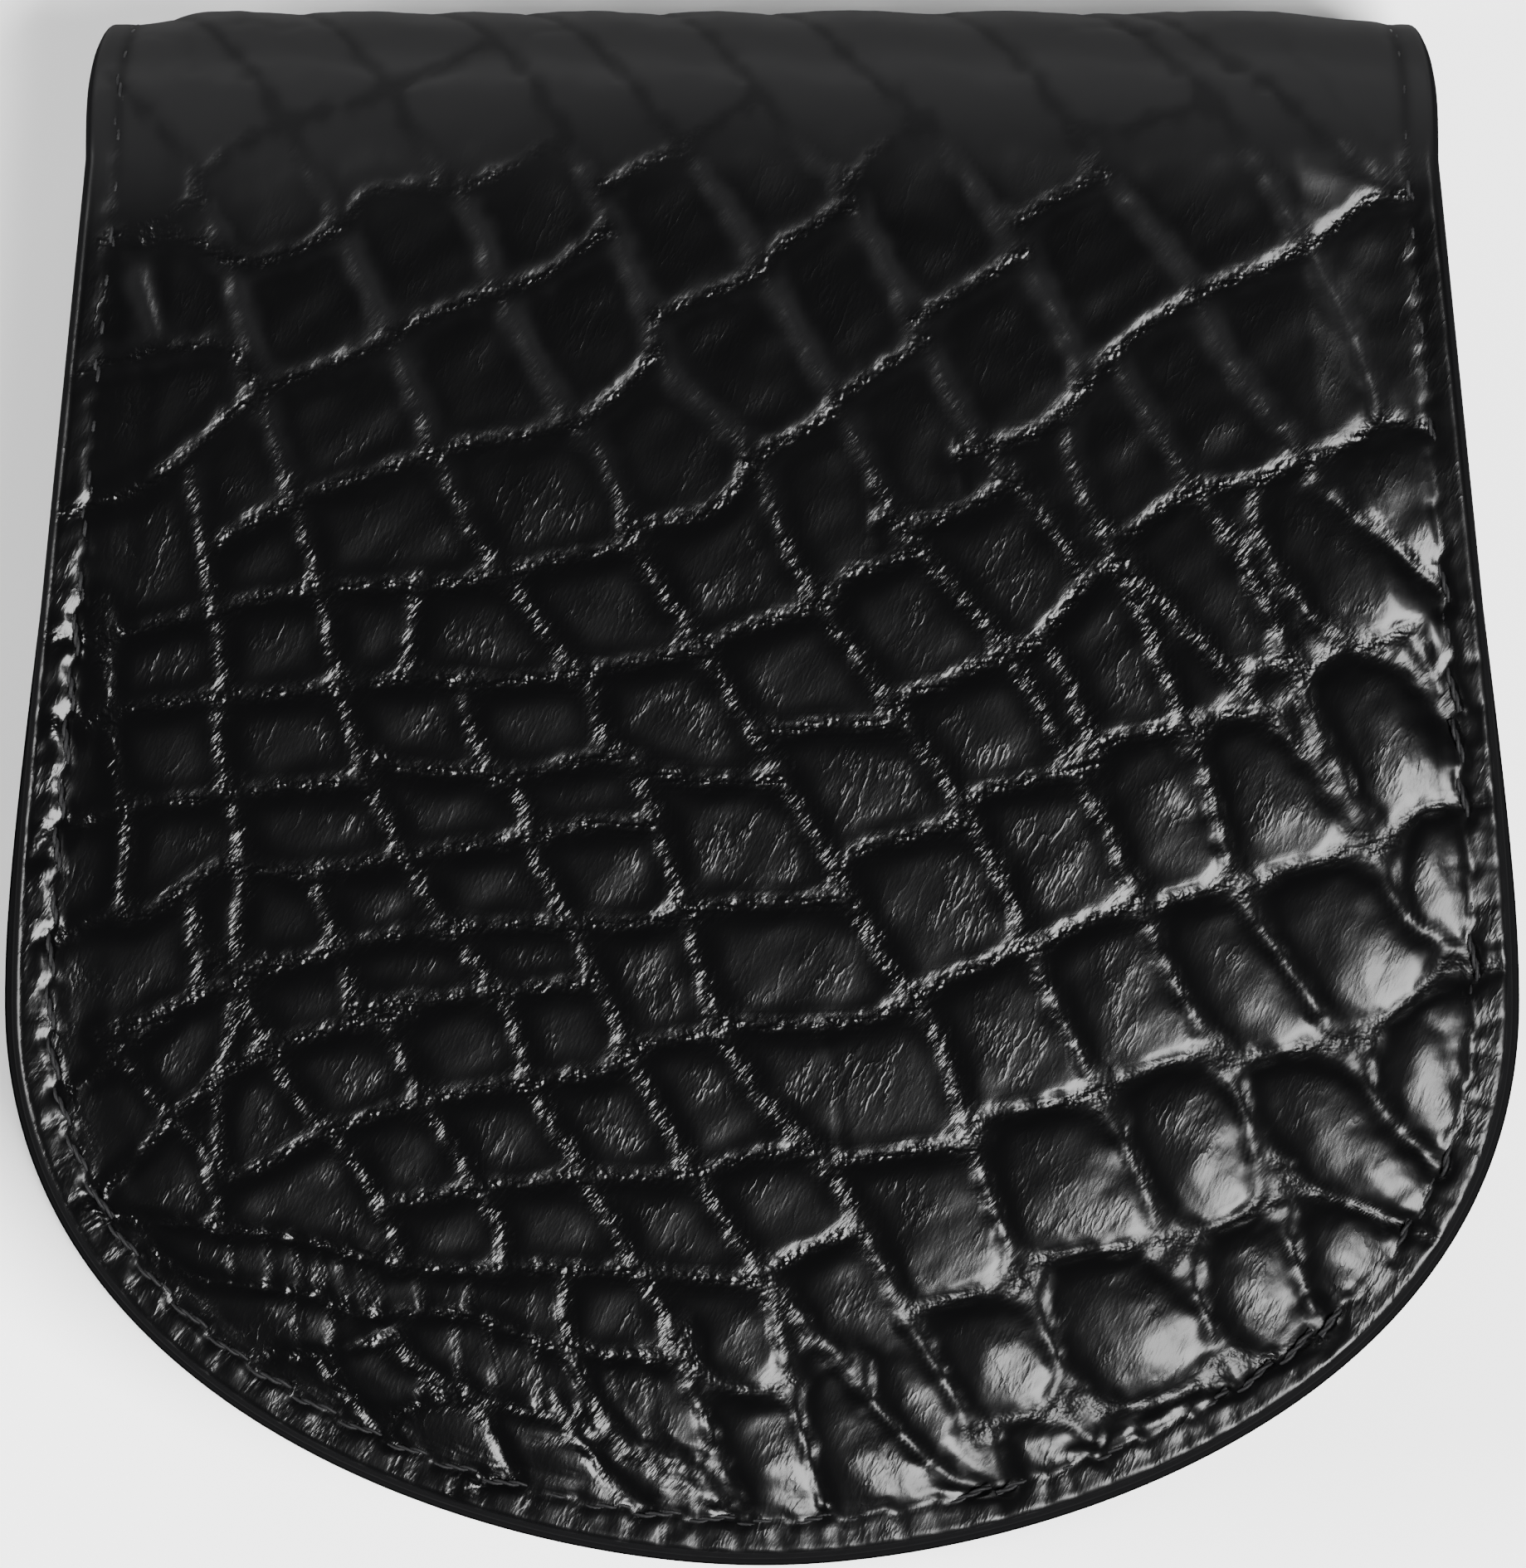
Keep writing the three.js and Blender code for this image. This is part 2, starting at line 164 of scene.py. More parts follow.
# Grooves that cross them, rising to the right, row by row from the fold to the toe.
RISES = {
    "row_1": ((-36.4, 13), (-32, 11), (-30, 8.2), (-26.6, 6.4), (-20.6, 4.7), (-15.6, 2)),
    "row_2": ((-34.8, 13), (-32, 12.8), (-28, 14.2), (-23.4, 12.2), (-21.4, 10.2), (-15.6, 9.7),
        (-11.4, 7.2)),
    "row_2_b": ((-8.8, 10), (-7, 9.1), (-4.8, 8)),
    "row_2_c": ((-4.4, 7.4), (-2.6, 6.4), (-0.6, 5)),
    "row_3": ((-38.2, 20.4), (-35.6, 19.4), (-30, 18.8), (-28.2, 20.4)),
    "row_4": ((-38.6, 28), (-35.4, 27), (-32.4, 25.4), (-27.8, 21.4), (-22.6, 19.4), (-17.6, 16.8),
        (-12.2, 15), (-8.6, 12.4)),
    "row_4_b": ((-5.9, 17.2), (-0.2, 14.8), (1, 13.4), (5, 10.8)),
    "row_4_c": ((5, 9.6), (6.4, 8), (8.6, 6.4)),
    "row_5_left": ((-30, 29.8), (-28.4, 28.6), (-26.2, 27.6)),
    "row_5": ((-25.4, 27.2), (-18.2, 24.8), (-12.4, 23.6), (-9.8, 22.8), (-7, 20.7), (-5.8, 19)),
    "row_5_b": ((-0.6, 25), (3.6, 22.8), (5, 21.2), (9.2, 18.4)),
    "row_5_c": ((8.4, 17.3), (11, 15.9), (14.6, 13.6)),
    "row_5_d": ((14.2, 12), (16, 10.8), (18.8, 9.2)),
    "row_5_e": ((17.4, 6.9), (20, 6.6), (25.2, 5.2)),
    "row_6": ((-40, 34.8), (-36, 34.8), (-30.4, 33.5), (-24.6, 32.3), (-16, 31.8), (-11, 30.6),
        (-7, 30)),
    "row_6_b": ((-7.4, 29), (-4, 28.3), (-1.8, 27.2), (-0.4, 25.4)),
    "row_6_c": ((6.6, 28.4), (9.2, 28.6), (14.4, 26.3)),
    "row_6_d": ((10.8, 24.8), (15.4, 23.5), (18.4, 20.6), (20.6, 18.2), (24.2, 16), (28.6, 14.2),
        (31.4, 12.4), (33.4, 10.8), (35.6, 10.5)),
    "row_6_e": ((20.4, 29.2), (23.6, 27), (28, 26), (32.6, 24.2), (34.4, 23), (37, 23.4)),
    "row_7": ((-39, 39.8), (-34, 38.7), (-26, 38), (-19, 37.2), (-14, 37.4), (-5, 36), (-1, 34.5),
        (3.8, 33), (4.6, 31.8), (8.8, 30.2)),
    "row_8": ((-38, 45.2), (-35, 44.4), (-27, 43.3), (-22, 42.9)),
    "row_8_b": ((-21.4, 41.6), (-19.6, 42.2), (-13.4, 42.5), (-8.6, 41.6), (-4, 42.8),
        (0.8, 42.8)),
    "row_8_c": ((0, 40.2), (4.6, 39.8), (8, 39.8)),
    "row_8_d": ((7.6, 38.4), (11.6, 36.8), (15.4, 34.9), (18, 32), (20, 30.9)),
    "row_9_rim": ((-41, 47), (-39.4, 45.6)),
    "row_9": ((-39.4, 51.8), (-37, 50.6), (-34, 50.2), (-29.8, 47.6), (-25.6, 48), (-19.4, 47),
        (-12.8, 46), (-8, 45.2), (-5.7, 45.4)),
    "row_9_b": ((-4.4, 49.6), (-2.8, 49.8), (4.8, 49.4)),
    "row_9_c": ((4.4, 47.8), (5.8, 46.6), (11, 45.2)),
    "row_9_d": ((11.4, 44.2), (13, 43.3), (17.6, 42.4)),
    "row_9_e": ((18.4, 41.8), (19.8, 40.5), (23.5, 40)),
    "row_9_f": ((24, 40.2), (25.8, 39.2), (29, 39.4)),
    "row_9_g": ((27.2, 36.7), (29.4, 36)),
    "row_9_h": ((30, 36.9), (33, 35.4), (35.6, 34.8)),
    "row_10_left": ((-36.6, 57), (-33.4, 55.7), (-27, 53.3)),
    "row_10": ((-31, 51.8), (-29.4, 53), (-26, 52.9), (-20, 51.4), (-13, 50.8), (-7.4, 50.8),
        (-4.2, 50.2)),
    "row_11": ((-22.4, 55.4), (-14.4, 54.6), (-9.4, 54)),
    "row_11_left": ((-27, 57.6), (-23.4, 56.6), (-19.4, 55.8)),
    "row_11_b": ((-2.4, 56), (-0.6, 56.4), (4.6, 56.3), (8.2, 55.3)),
    "row_11_c": ((8.8, 54.8), (10.6, 53.7), (15, 51.9)),
    "row_11_d": ((15, 52.4), (16.8, 51.3), (20.8, 49.5)),
    "row_11_e": ((21.2, 50.2), (23, 49.4), (26.4, 48.6)),
    "row_11_f": ((26.8, 48.8), (29.2, 47.8), (34, 46.4)),
    "row_11_g": ((34.2, 46.6), (35.6, 45.1), (37.4, 44.2), (40, 44)),
    "row_11_h": ((-7.4, 57.8), (-5, 57.2), (-2.4, 57)),
    "row_12_left": ((-38.6, 60.2), (-36.4, 58.8), (-33, 56)),
    "row_12_toe": ((-37, 66), (-33.4, 62.6), (-30.2, 59.4), (-26.8, 57.8)),
    "row_12": ((-30, 65), (-28.4, 64.6), (-23.6, 62.2), (-17.4, 60.3), (-10, 59.2), (-8, 58.6)),
    "row_12_b": ((11.8, 62.6), (13, 61.4), (17, 60.6), (18.6, 59.8)),
    "row_12_c": ((18.6, 60.8), (20.4, 59.2), (25.2, 57.8)),
    "row_12_d": ((25.6, 58.4), (28, 58), (32.8, 57.4)),
    "row_12_e": ((33.2, 57), (36.8, 54.2), (38.4, 53.2), (41.8, 53.2)),
    "row_13": ((-20.8, 66.4), (-15.8, 65.5), (-10, 64.9), (-3.8, 64.6), (0.4, 63.4), (3, 63.6)),
    "row_13_b": ((4.6, 64), (7, 63.6), (12, 62.8)),
    "row_14": ((-37.4, 66.4), (-35, 67.1), (-27, 68), (-19, 69.8), (-11, 69.9), (-3.2, 70.4),
        (0, 70.9)),
    "row_14_b": ((0.4, 70.4), (1.8, 69.2), (5.6, 67.8)),
    "row_14_c": ((8.4, 72.4), (10.4, 71.6), (14.6, 70.8)),
    "row_14_d": ((14.4, 70.2), (16.2, 69.2), (22.8, 68.4)),
    "row_14_e": ((22.8, 69.4), (24.4, 68), (28.2, 66.2)),
    "row_14_f": ((28.4, 63.8), (30, 65.4), (33.4, 66.6), (37, 68.2)),
    "row_15": ((-33.6, 69), (-31, 70.4), (-25, 71.3), (-22.4, 72.4), (-16.4, 72.4), (-11, 74.3),
        (-5, 74.8)),
    "row_15_b": ((-4.2, 73), (-3.6, 75.2), (-1.8, 76.4), (0, 76.7), (1.6, 76)),
    "row_15_c": ((11.8, 79.2), (14, 78.2), (16.6, 77.8)),
    "row_15_d": ((16.8, 77), (19, 77.5), (22.4, 77.1), (25, 75.8)),
    "row_15_e": ((25.8, 75), (28.4, 74.7), (31, 73.6)),
    "row_16": ((-27, 74.7), (-24.4, 74.6), (-20.2, 73.6)),
    "row_17": ((-20.6, 78.2), (-18.6, 77.2), (-17, 76.8)),
    "row_18": ((-17.4, 82.4), (-14.4, 81.4)),
}
# Shallow creases that run beside a groove or end inside a scale.
CREASES = {
    "corner_bend": ((-34.2, 1), (-32.1, 1.7), (-31.5, 3), (-32.4, 3.8)),
    "corner_crest": ((-30, 0.9), (-28.4, 0.7), (-27, 1.1), (-25.4, 0.8)),
    "corner_fall": ((-35.4, 3.4), (-33.6, 6), (-32.8, 8.8)),
    "crest_middle": ((-13.8, 2), (-12.2, 1.1), (-10.4, 1.2)),
    "crest_right": ((16.4, 1.4), (18.8, 0.9), (21.4, 1.3)),
    "fifth_twin": ((6, 25.4), (6.4, 29.8)),
    "fifth_side": ((10.8, 23.8), (11.2, 27)),
    "sixth_twin": ((14.6, 13.2), (17, 18), (18.6, 20)),
    "sixth_low_twin": ((22, 41.4), (23.4, 43.8), (25, 46.4)),
    "seventh_twin": ((20.6, 10.8), (23, 12.8), (25.8, 15)),
    "ninth_twin": ((27.6, 1), (31, 4), (34.4, 7.2)),
    "right_margin_twin": ((33.6, 25.2), (34.2, 27.6), (35.2, 30)),
    "right_end": ((36.6, 56), (38, 57.2), (39.2, 58.6)),
    "toe_twin": ((3.2, 56.2), (3.9, 59), (4.6, 65)),
    "toe_side": ((4, 75.4), (6.6, 79.8), (7.6, 82.4)),
    "right_low": ((28.4, 66), (30.6, 65.8)),
    "toe_cell_a": ((-33, 71.7), (-29.3, 74.3), (-26.1, 74.3), (-23.8, 75), (-22, 77.7)),
    "toe_cell_b": ((-27, 77.2), (-24.3, 78.9), (-21.5, 78.2), (-19.2, 77.7), (-18.7, 76.3)),
    "toe_cell_c": ((-19.2, 77.7), (-16.5, 77.7), (-14.6, 79.5), (-13.7, 81.8)),
    "toe_cell_d": ((-12.8, 79.5), (-10, 79.5), (-8.7, 80.9)),
    "toe_cell_e": ((-8.2, 75.9), (-7.3, 77.7), (-5.4, 79.5), (-2.7, 80.5)),
}

# ---- Settings ----


class LeatherSettings(bpy.types.PropertyGroup):
    """Sizes and colours of the crocodile leather."""

    colour: FloatVectorProperty(
        name="Leather colour", description="Dyed surface of the scales", subtype="COLOR",
        default=(0.0014, 0.0014, 0.0015))
    groove_colour: FloatVectorProperty(
        name="Groove colour", description="Grain in the grooves between the scales",
        subtype="COLOR", default=(0.0014, 0.0014, 0.0015))
    # The fold's colour is lighter than the scales': painted sheen for the light behind the fold
    # that the curving leather reflects.
    fold_sheen_colour: FloatVectorProperty(
        name="Fold colour", description="Duller leather round the fold", subtype="COLOR",
        default=(0.0105, 0.0105, 0.0108))
    groove_depth: FloatProperty(
        name="Groove depth",
        description="Depth of the grooves between full scales, in millimetres", default=0.17,
        min=0, max=0.8)
    bed_width: FloatProperty(
        name="Groove bed", description="Width of the granular bed of a groove, in millimetres",
        default=0.14, min=0, max=2)
    groove_width: FloatProperty(
        name="Groove width",
        description="Distance over which a scale rises out of its groove, in millimetres",
        default=0.36, min=0.1, max=2)
    gloss: FloatProperty(
        name="Scale roughness", description="Roughness of the glazed scales", subtype="FACTOR",
        default=0.15, min=0, max=1)


class StitchSettings(bpy.types.PropertyGroup):
    """Sizes and colour of the sewn border."""

    colour: FloatVectorProperty(
        name="Thread colour", description="Waxed thread", subtype="COLOR",
        default=(0.004, 0.004, 0.0043))
    pitch: FloatProperty(
        name="Pitch", description="Distance from stitch to stitch on the sides, in millimetres",
        default=3.0, min=1.5, max=5)
    length: FloatProperty(
        name="Stitch length", description="Visible length of one stitch, in millimetres",
        default=2.3, min=1, max=4)
    thickness: FloatProperty(
        name="Thread thickness", description="Thickness of the two-ply thread, in millimetres",
        default=0.42, min=0.2, max=1)
    slant: FloatProperty(
        name="Slant", description="Turn of each stitch out of the seam's line", subtype="ANGLE",
        default=math.radians(12))


class StageSettings(bpy.types.PropertyGroup):
    """Floor, lamps and camera."""

    floor_colour: FloatVectorProperty(
        name="Floor colour", description="Plain pale floor", subtype="COLOR",
        default=(0.9, 0.9, 0.9))
    key_power: FloatProperty(
        name="Key power", description="Light from the toe's right side, in watts", default=120.0,
        min=0)
    side_power: FloatProperty(
        name="Side power", description="Light from the left, in watts", default=12, min=0)
    panel_power: FloatProperty(
        name="Panel power", description="Broad low panel behind the fold, in watts", default=6.5,
        min=0)
    camera_height: FloatProperty(
        name="Camera height", description="Height of the camera above the floor", unit="LENGTH",
        default=0.95)


# ---- Cut pattern ----
# On the pattern u is the width and v the length: v is 0 where the flap meets the fold, less than
# 0 towards the toe, and FOLD_TURN where the fold meets the back panel. The back panel has a
# pattern of its own that ends at v = 0.


def mix(low, high, share):
    """Value that lies at a share of the way from low to high."""
    return low + (high - low) * share


def smooth_step(low, high, value):
    """0 below low, 1 above high, and a smooth rise between them."""
    share = np.clip((value - low) / (high - low), 0, 1)
    return share * share * (3 - 2 * share)


def fade(distance, reach, power=2):
    """1 at a distance of 0, and nearly 0 at twice the reach."""
    return np.exp(-(distance / reach) ** power)


def bezier(start, pull_start, pull_end, end, steps):
    """Points on a cubic curve, both ends included."""
    t = np.linspace(0, 1, steps + 1)[:, None]
    corners = np.array([start, pull_start, pull_end, end], float)
    return ((1 - t) ** 3 * corners[0] + 3 * (1 - t) ** 2 * t * corners[1]
            + 3 * (1 - t) * t ** 2 * corners[2] + t ** 3 * corners[3])


def pulled(start, pull, end, steps):
    """Points on a curve that leaves a straight line towards a third point."""
    t = np.linspace(0, 1, steps)[:, None]
    start, pull, end = np.array([start, pull, end], float)
    return (1 - t) ** 2 * start + 2 * (1 - t) * t * pull + t ** 2 * end


def through(points, steps):
    """Points on a smooth curve that passes through every charted point."""
    points = np.array(points, float)
    ends = np.vstack([2 * points[0] - points[1], points, 2 * points[-1] - points[-2]])
    t = np.linspace(0, 1, steps, endpoint=False)[:, None]
    found = []
    for a, b, c, d in zip(ends, ends[1:], ends[2:], ends[3:]):
        found.append(0.5 * (2 * b + (c - a) * t + (2 * a - 5 * b + 4 * c - d) * t ** 2
                            + (3 * b - a - 3 * c + d) * t ** 3))
    found.append(points[-1:])
    return np.vstack(found)


def half_outline(grow, steps=160):
    """Right half of the free edge on the pattern, from the toe to the fold."""
    wide = FLAP_HALF_WIDTH + grow
    tip = FLAP_TIP_Y - grow
    end = bezier((0, tip), (wide * TIP_FLATNESS, tip),
                 (wide, mix(WIDEST_Y, tip, SHOULDER_REACH)), (wide, WIDEST_Y), steps)
    side = bezier((wide, WIDEST_Y), (wide, WIDEST_Y + SIDE_REACH),
                  (mix(FOLD_HALF_WIDTH, wide, SIDE_FULLNESS), FOLD_Y / 8),
                  (FOLD_HALF_WIDTH, FOLD_Y), steps)
    edge = np.vstack([end, side[1:]])
    return edge - (0, FOLD_Y)


def fold_edge(length=FOLD_TURN, steps=60):
    """Right edge of the leather round the fold, without its first point."""
    turn = np.linspace(0, length / FOLD_TURN, steps + 1)[1:]
    waist = FOLD_WAIST * np.sin(math.pi * turn) ** 4
    return np.column_stack([FOLD_HALF_WIDTH - waist, FOLD_TURN * turn])


class Border:
    """The sewn edge of a pattern, from its top left end round the toe to its top right end."""

    def __init__(self, half):
        left = half[::-1] * (-1, 1)
        path = np.vstack([left, half[1:]])
        steps = np.linalg.norm(np.diff(path, axis=0), axis=1)
        self.arc = np.concatenate([[0], np.cumsum(steps)])
        self.length = self.arc[-1]
        self.path = path
        along = np.gradient(path, self.arc, axis=0)
        along[[0, -1]] = (0, -1), (0, 1)
        along /= np.linalg.norm(along, axis=1)[:, None]
        self.along = along

    def at(self, arc, inset=0):
        """Points at arc lengths along the edge, moved into the leather."""
        arc = np.asarray(arc, float)
        point = np.column_stack([np.interp(arc, self.arc, self.path[:, k]) for k in (0, 1)])
        along = self.heading(arc)
        inwards = np.column_stack([-along[:, 1], along[:, 0]])
        return point + inwards * np.asarray(inset, float).reshape(-1, 1)

    def heading(self, arc):
        """Unit directions of the edge at arc lengths."""
        found = np.column_stack([np.interp(arc, self.arc, self.along[:, k]) for k in (0, 1)])
        return found / np.linalg.norm(found, axis=1)[:, None]

    def arc_at_heading(self, slope):
        """Arc length at which the left half of the edge has turned to a slope, in radians."""
        half = len(self.arc) // 2
        turned = np.arctan2(self.along[:half, 0], -self.along[:half, 1])
        return float(np.interp(slope, np.maximum.accumulate(turned), self.arc[:half]))


def bend_front(u, v, height):
    """Places the flap's and the fold's pattern in space. height is from the inner face."""
    radius = INNER_RADIUS + height
    angle = np.clip(math.pi * v / FOLD_TURN, 0, math.pi)
    y = FOLD_Y + np.minimum(v, 0) + radius * np.sin(angle)
    return np.stack([u, y, MID_Z + radius * np.cos(angle)], axis=-1)


def bend_back(u, v, height):
    """Places the back panel's pattern in space, inner face up."""
    return np.stack([u, FOLD_Y + v, MID_Z - INNER_RADIUS - height], axis=-1)


# ---- Relief of the skin ----


class Chart:
    """Heights and distances over a pattern, on a fine square grid."""

    STEP = 0.15

    def __init__(self, low, high):
        self.low = np.array(low, float)
        self.u = np.arange(low[0], high[0], self.STEP)
        self.v = np.arange(low[1], high[1], self.STEP)
        self.shape = (len(self.v), len(self.u))
        self.across, self.up = np.meshgrid(self.u, self.v)

    def window(self, start, end, reach):
        """Rows and columns within reach of a straight line, and the distance to it there."""
        low = np.floor((np.minimum(start, end) - reach - self.low) / self.STEP).astype(int)
        high = np.ceil((np.maximum(start, end) + reach - self.low) / self.STEP).astype(int) + 1
        rows, columns = (slice(max(low[k], 0), max(high[k], 0)) for k in (1, 0))
        across = self.u[None, columns] - start[0]
        up = self.v[rows, None] - start[1]
        run = end - start
        share = np.clip((across * run[0] + up * run[1]) / max(run @ run, 1e-9), 0, 1)
        return rows, columns, np.hypot(across - share * run[0], up - share * run[1])

    def near(self, path, reach, found=None):
        """Distance to a path, up to a reach."""
        found = np.full(self.shape, float(reach)) if found is None else found
        for start, end in zip(path, path[1:]):
            rows, columns, gap = self.window(start, end, reach)
            np.minimum(found[rows, columns], gap, out=found[rows, columns])
        return found

    def stamp(self, values, start, end, width, size):
        """Adds a soft ridge from one point to another."""
        rows, columns, gap = self.window(start, end, 3 * width)
        values[rows, columns] += size * fade(gap, width)

    def soft_near(self, paths, reach, *roundings):
        """Distances to the nearest of many paths, rounded more or less where two of them meet."""
        totals = [np.full(self.shape, math.exp(-reach / rounding)) for rounding in roundings]
        for path in paths:
            near = self.near(path, reach)
            for total, rounding in zip(totals, roundings):
                total += np.exp(-near / rounding) - math.exp(-reach / rounding)
        return [np.maximum(-rounding * np.log(total), 0)
                for total, rounding in zip(totals, roundings)]

    def read(self, values, u, v):
        """Values at pattern points, from the four cells round each."""
        x = np.clip((u - self.low[0]) / self.STEP, 0, self.shape[1] - 1.001)
        y = np.clip((v - self.low[1]) / self.STEP, 0, self.shape[0] - 1.001)
        i, j = x.astype(int), y.astype(int)
        x, y = x - i, y - j
        return ((values[j, i] * (1 - x) + values[j, i + 1] * x) * (1 - y)
                + (values[j + 1, i] * (1 - x) + values[j + 1, i + 1] * x) * y)


def swell(u, v, size, seed, count=14):
    """Smooth random swell between about -1 and 1, with humps of about a given size."""
    draw = np.random.default_rng(seed)
    total = np.zeros(np.shape(u))
    for _ in range(count):
        angle = draw.uniform(0, math.pi)
        reach = math.pi / (size * draw.uniform(0.7, 1.5))
        total += np.sin((u * math.cos(angle) + v * math.sin(angle)) * reach
                        + draw.uniform(0, 2 * math.pi))
    return total / math.sqrt(count)


def unrolled(points):
    """Pattern points of charted ones, which are given as seen from above."""
    found = []
    for across, down in points:
        y = CREST_Y - down
        v = y - FOLD_Y
        if v > 0:
            v = math.asin(min(v / OUTER_RADIUS, 1)) * FOLD_TURN / math.pi
        found.append((across, v))
    return found


CREST_V = FOLD_TURN / 2
CARRY_ON = 1.7        # grooves that start within this of the crest run on round the fold
STRAIGHTEN = 8        # distance over which such a groove loses most of its lean
FOLD_ROWS = ((2.2, 1), (7.6, 2), (12.4, 3))   # distance past the crest, and the swell's seed
CURVE_STEPS = 5       # points between two charted ones
TICK_LEAN = 0.3


def front_grooves():
    """Pattern paths of the long grooves of flap and fold, the crossing rises and the creases."""
    grooves = []
    for points in FALLS.values():
        path = through(unrolled(points), CURVE_STEPS)
        if points[0][1] <= CARRY_ON:
            step = path[CURVE_STEPS] - path[0]
            lean = step[0] / step[1]
            run = np.linspace(FOLD_TURN + 1, path[0, 1], 8, endpoint=False)
            ahead = run - path[0, 1]
            shift = lean * STRAIGHTEN * (1 - np.exp(-ahead / STRAIGHTEN))
            path = np.vstack([np.column_stack([path[0, 0] + shift, run]), path])
        grooves.append(path)
    rises, creases = ([through(unrolled(points), CURVE_STEPS) for points in chart.values()]
                      for chart in (RISES, CREASES))
    for past, seed in FOLD_ROWS:
        u = np.linspace(-FOLD_HALF_WIDTH, FOLD_HALF_WIDTH, 60)
        rises.append(np.column_stack([u, CREST_V + past + 0.9 * swell(u, 0 * u, 9, seed)]))
    for across, start, end in TICKS:
        creases.append(through(unrolled([(across, start), (across + TICK_LEAN, end)]), 2))
    return grooves, rises, creases


RIM_TICKS_FROM = -24          # the short grooves across the rim lie nearer to the toe than this
RIM_TICK_PITCH = (1.3, 2.9)
RIM_TICK_REACH = (2.3, 3.6)
RIM_TICK_LEAN = 0.7


def rim_ticks(border):
    """Short uneven grooves that cross the rim round the toe, and a line that joins their ends."""
    draw = np.random.default_rng(9)
    found, joints = [], []
    arc = 0.0
    while arc < border.length:
        arc += draw.uniform(*RIM_TICK_PITCH)
        if border.at([arc])[0, 1] > RIM_TICKS_FROM:
            continue
        reach = draw.uniform(*RIM_TICK_REACH)
        lean = draw.uniform(-RIM_TICK_LEAN, RIM_TICK_LEAN)
        insets = np.array([0.2, 0.45 * reach, reach])
        found.append(border.at(arc + np.array([0, 0.7 * lean, lean]), insets))
        joints.append(found[-1][-1])
    return found + [np.array(joints)]


BACK_FALLS = (-39, -32.5, -26, -20.5, -14.5, -8.6, -2.8, 3.4, 9.8, 15.4, 21.6, 27.6, 33.4, 39.6)
BACK_FALL_LEAN = 0.1
BACK_FAN = 420                # the falls would meet this far beyond the fold
BACK_FIRST_ROW = -3.5
BACK_ROW_PITCH = 5.4
BACK_ROW_RISE = 0.07


def back_grooves():
    """Pattern paths of the back panel's grooves: falls that open out, crossed by waved rows."""
    grooves, rises = [], []
    v = np.linspace(1, FLAP_TIP_Y - FOLD_Y - 3, 60)
    for k, start in enumerate(BACK_FALLS):
        lean = BACK_FALL_LEAN * v + 1.1 * swell(v, 0 * v + 7 * k, 16, 40 + k)
        grooves.append(np.column_stack([start * (1 - v / BACK_FAN) + lean, v]))
    u = np.linspace(-FLAP_HALF_WIDTH - 2, FLAP_HALF_WIDTH + 2, 90)
    for k, row in enumerate(np.arange(BACK_FIRST_ROW, FLAP_TIP_Y - FOLD_Y, -BACK_ROW_PITCH)):
        wave = 0.8 * swell(u, 0 * u + 5 * k, 7, 80 + k)
        rises.append(np.column_stack([u, row + BACK_ROW_RISE * u + wave]))
    return grooves, rises, []


# ---- Seam ----

SEAM_INSET = 2.15
SEAM_INSET_FOLD = 1.85
STITCH_DEPTH = 0.17
FLANGE_STITCH_DEPTH = 0.04
PITCH_AT_FOLD = 0.87          # share of the pitch that is left where the seam nears the fold


def seam_inset(v):
    """Inset of the seam, which runs nearer to the edge at the fold."""
    return mix(SEAM_INSET, SEAM_INSET_FOLD, smooth_step(-32, -4, v))


def seam_arcs(border, pitch):
    """Arc lengths of the middles of the stitches, alike on both sides of the toe."""
    arcs = [border.length / 2]
    while True:
        v = border.at([arcs[-1]])[0, 1]
        step = pitch * mix(1, PITCH_AT_FOLD, smooth_step(-30, -4, v))
        if arcs[-1] + step > border.length - 0.2:
            break
        arcs.append(arcs[-1] + step)
    right = np.array(arcs)
    return np.concatenate([border.length - right[:0:-1], right])


def seam_points(border, arcs, ahead=0, inwards=0):
    """Pattern points on the seam, moved along it and into the leather."""
    arcs = np.clip(arcs + ahead, 0, border.length)
    return border.at(arcs, seam_inset(border.at(arcs)[:, 1]) + inwards)


MASKS = ("groove", "rising", "bank", "middle", "plump", "soft")

# Ranges over which the skin turns soft, plump or fine, along three directions of the pattern.
SOFT = (-4.5, 5.5)
PLUMP = (29, 53)
FINE = (50, 66)
PLUMP_BACK = 0.25

# Widths of the skin's features.
CREASE_WIDTH = 0.24
PILLOW_WIDTH = 2.2
TROUGH_WIDTH = 0.34
HOLE_WIDTH = 0.26
GRAIN_REACH = 0.25              # how far the grains of a groove reach out of its bed
BANK_REACH = 0.46
ROW_REACH = 0.5
# Reach of the bands along the falls that get the fold's painted sheen.
SHEEN_BAND_REACH = 0.75

# Insets from the edge between which the plain form and its relief change.
EDGE_ROUNDING = 0.7
EDGE_PAINTED = (0.25, 0.5)
PUFF_FROM, PUFF_TO = 2.2, 5.6
WIDE_PUFF = 5                   # how much wider the padding's slope is at the swollen right side
CROWN_RISE = (2, 9)
RIM_DEEPENS = (1.2, 3.2)
RELIEF_STARTS = 0.9
BACK_SUNK = 0.05                # keeps the back panel's relief under the plain form


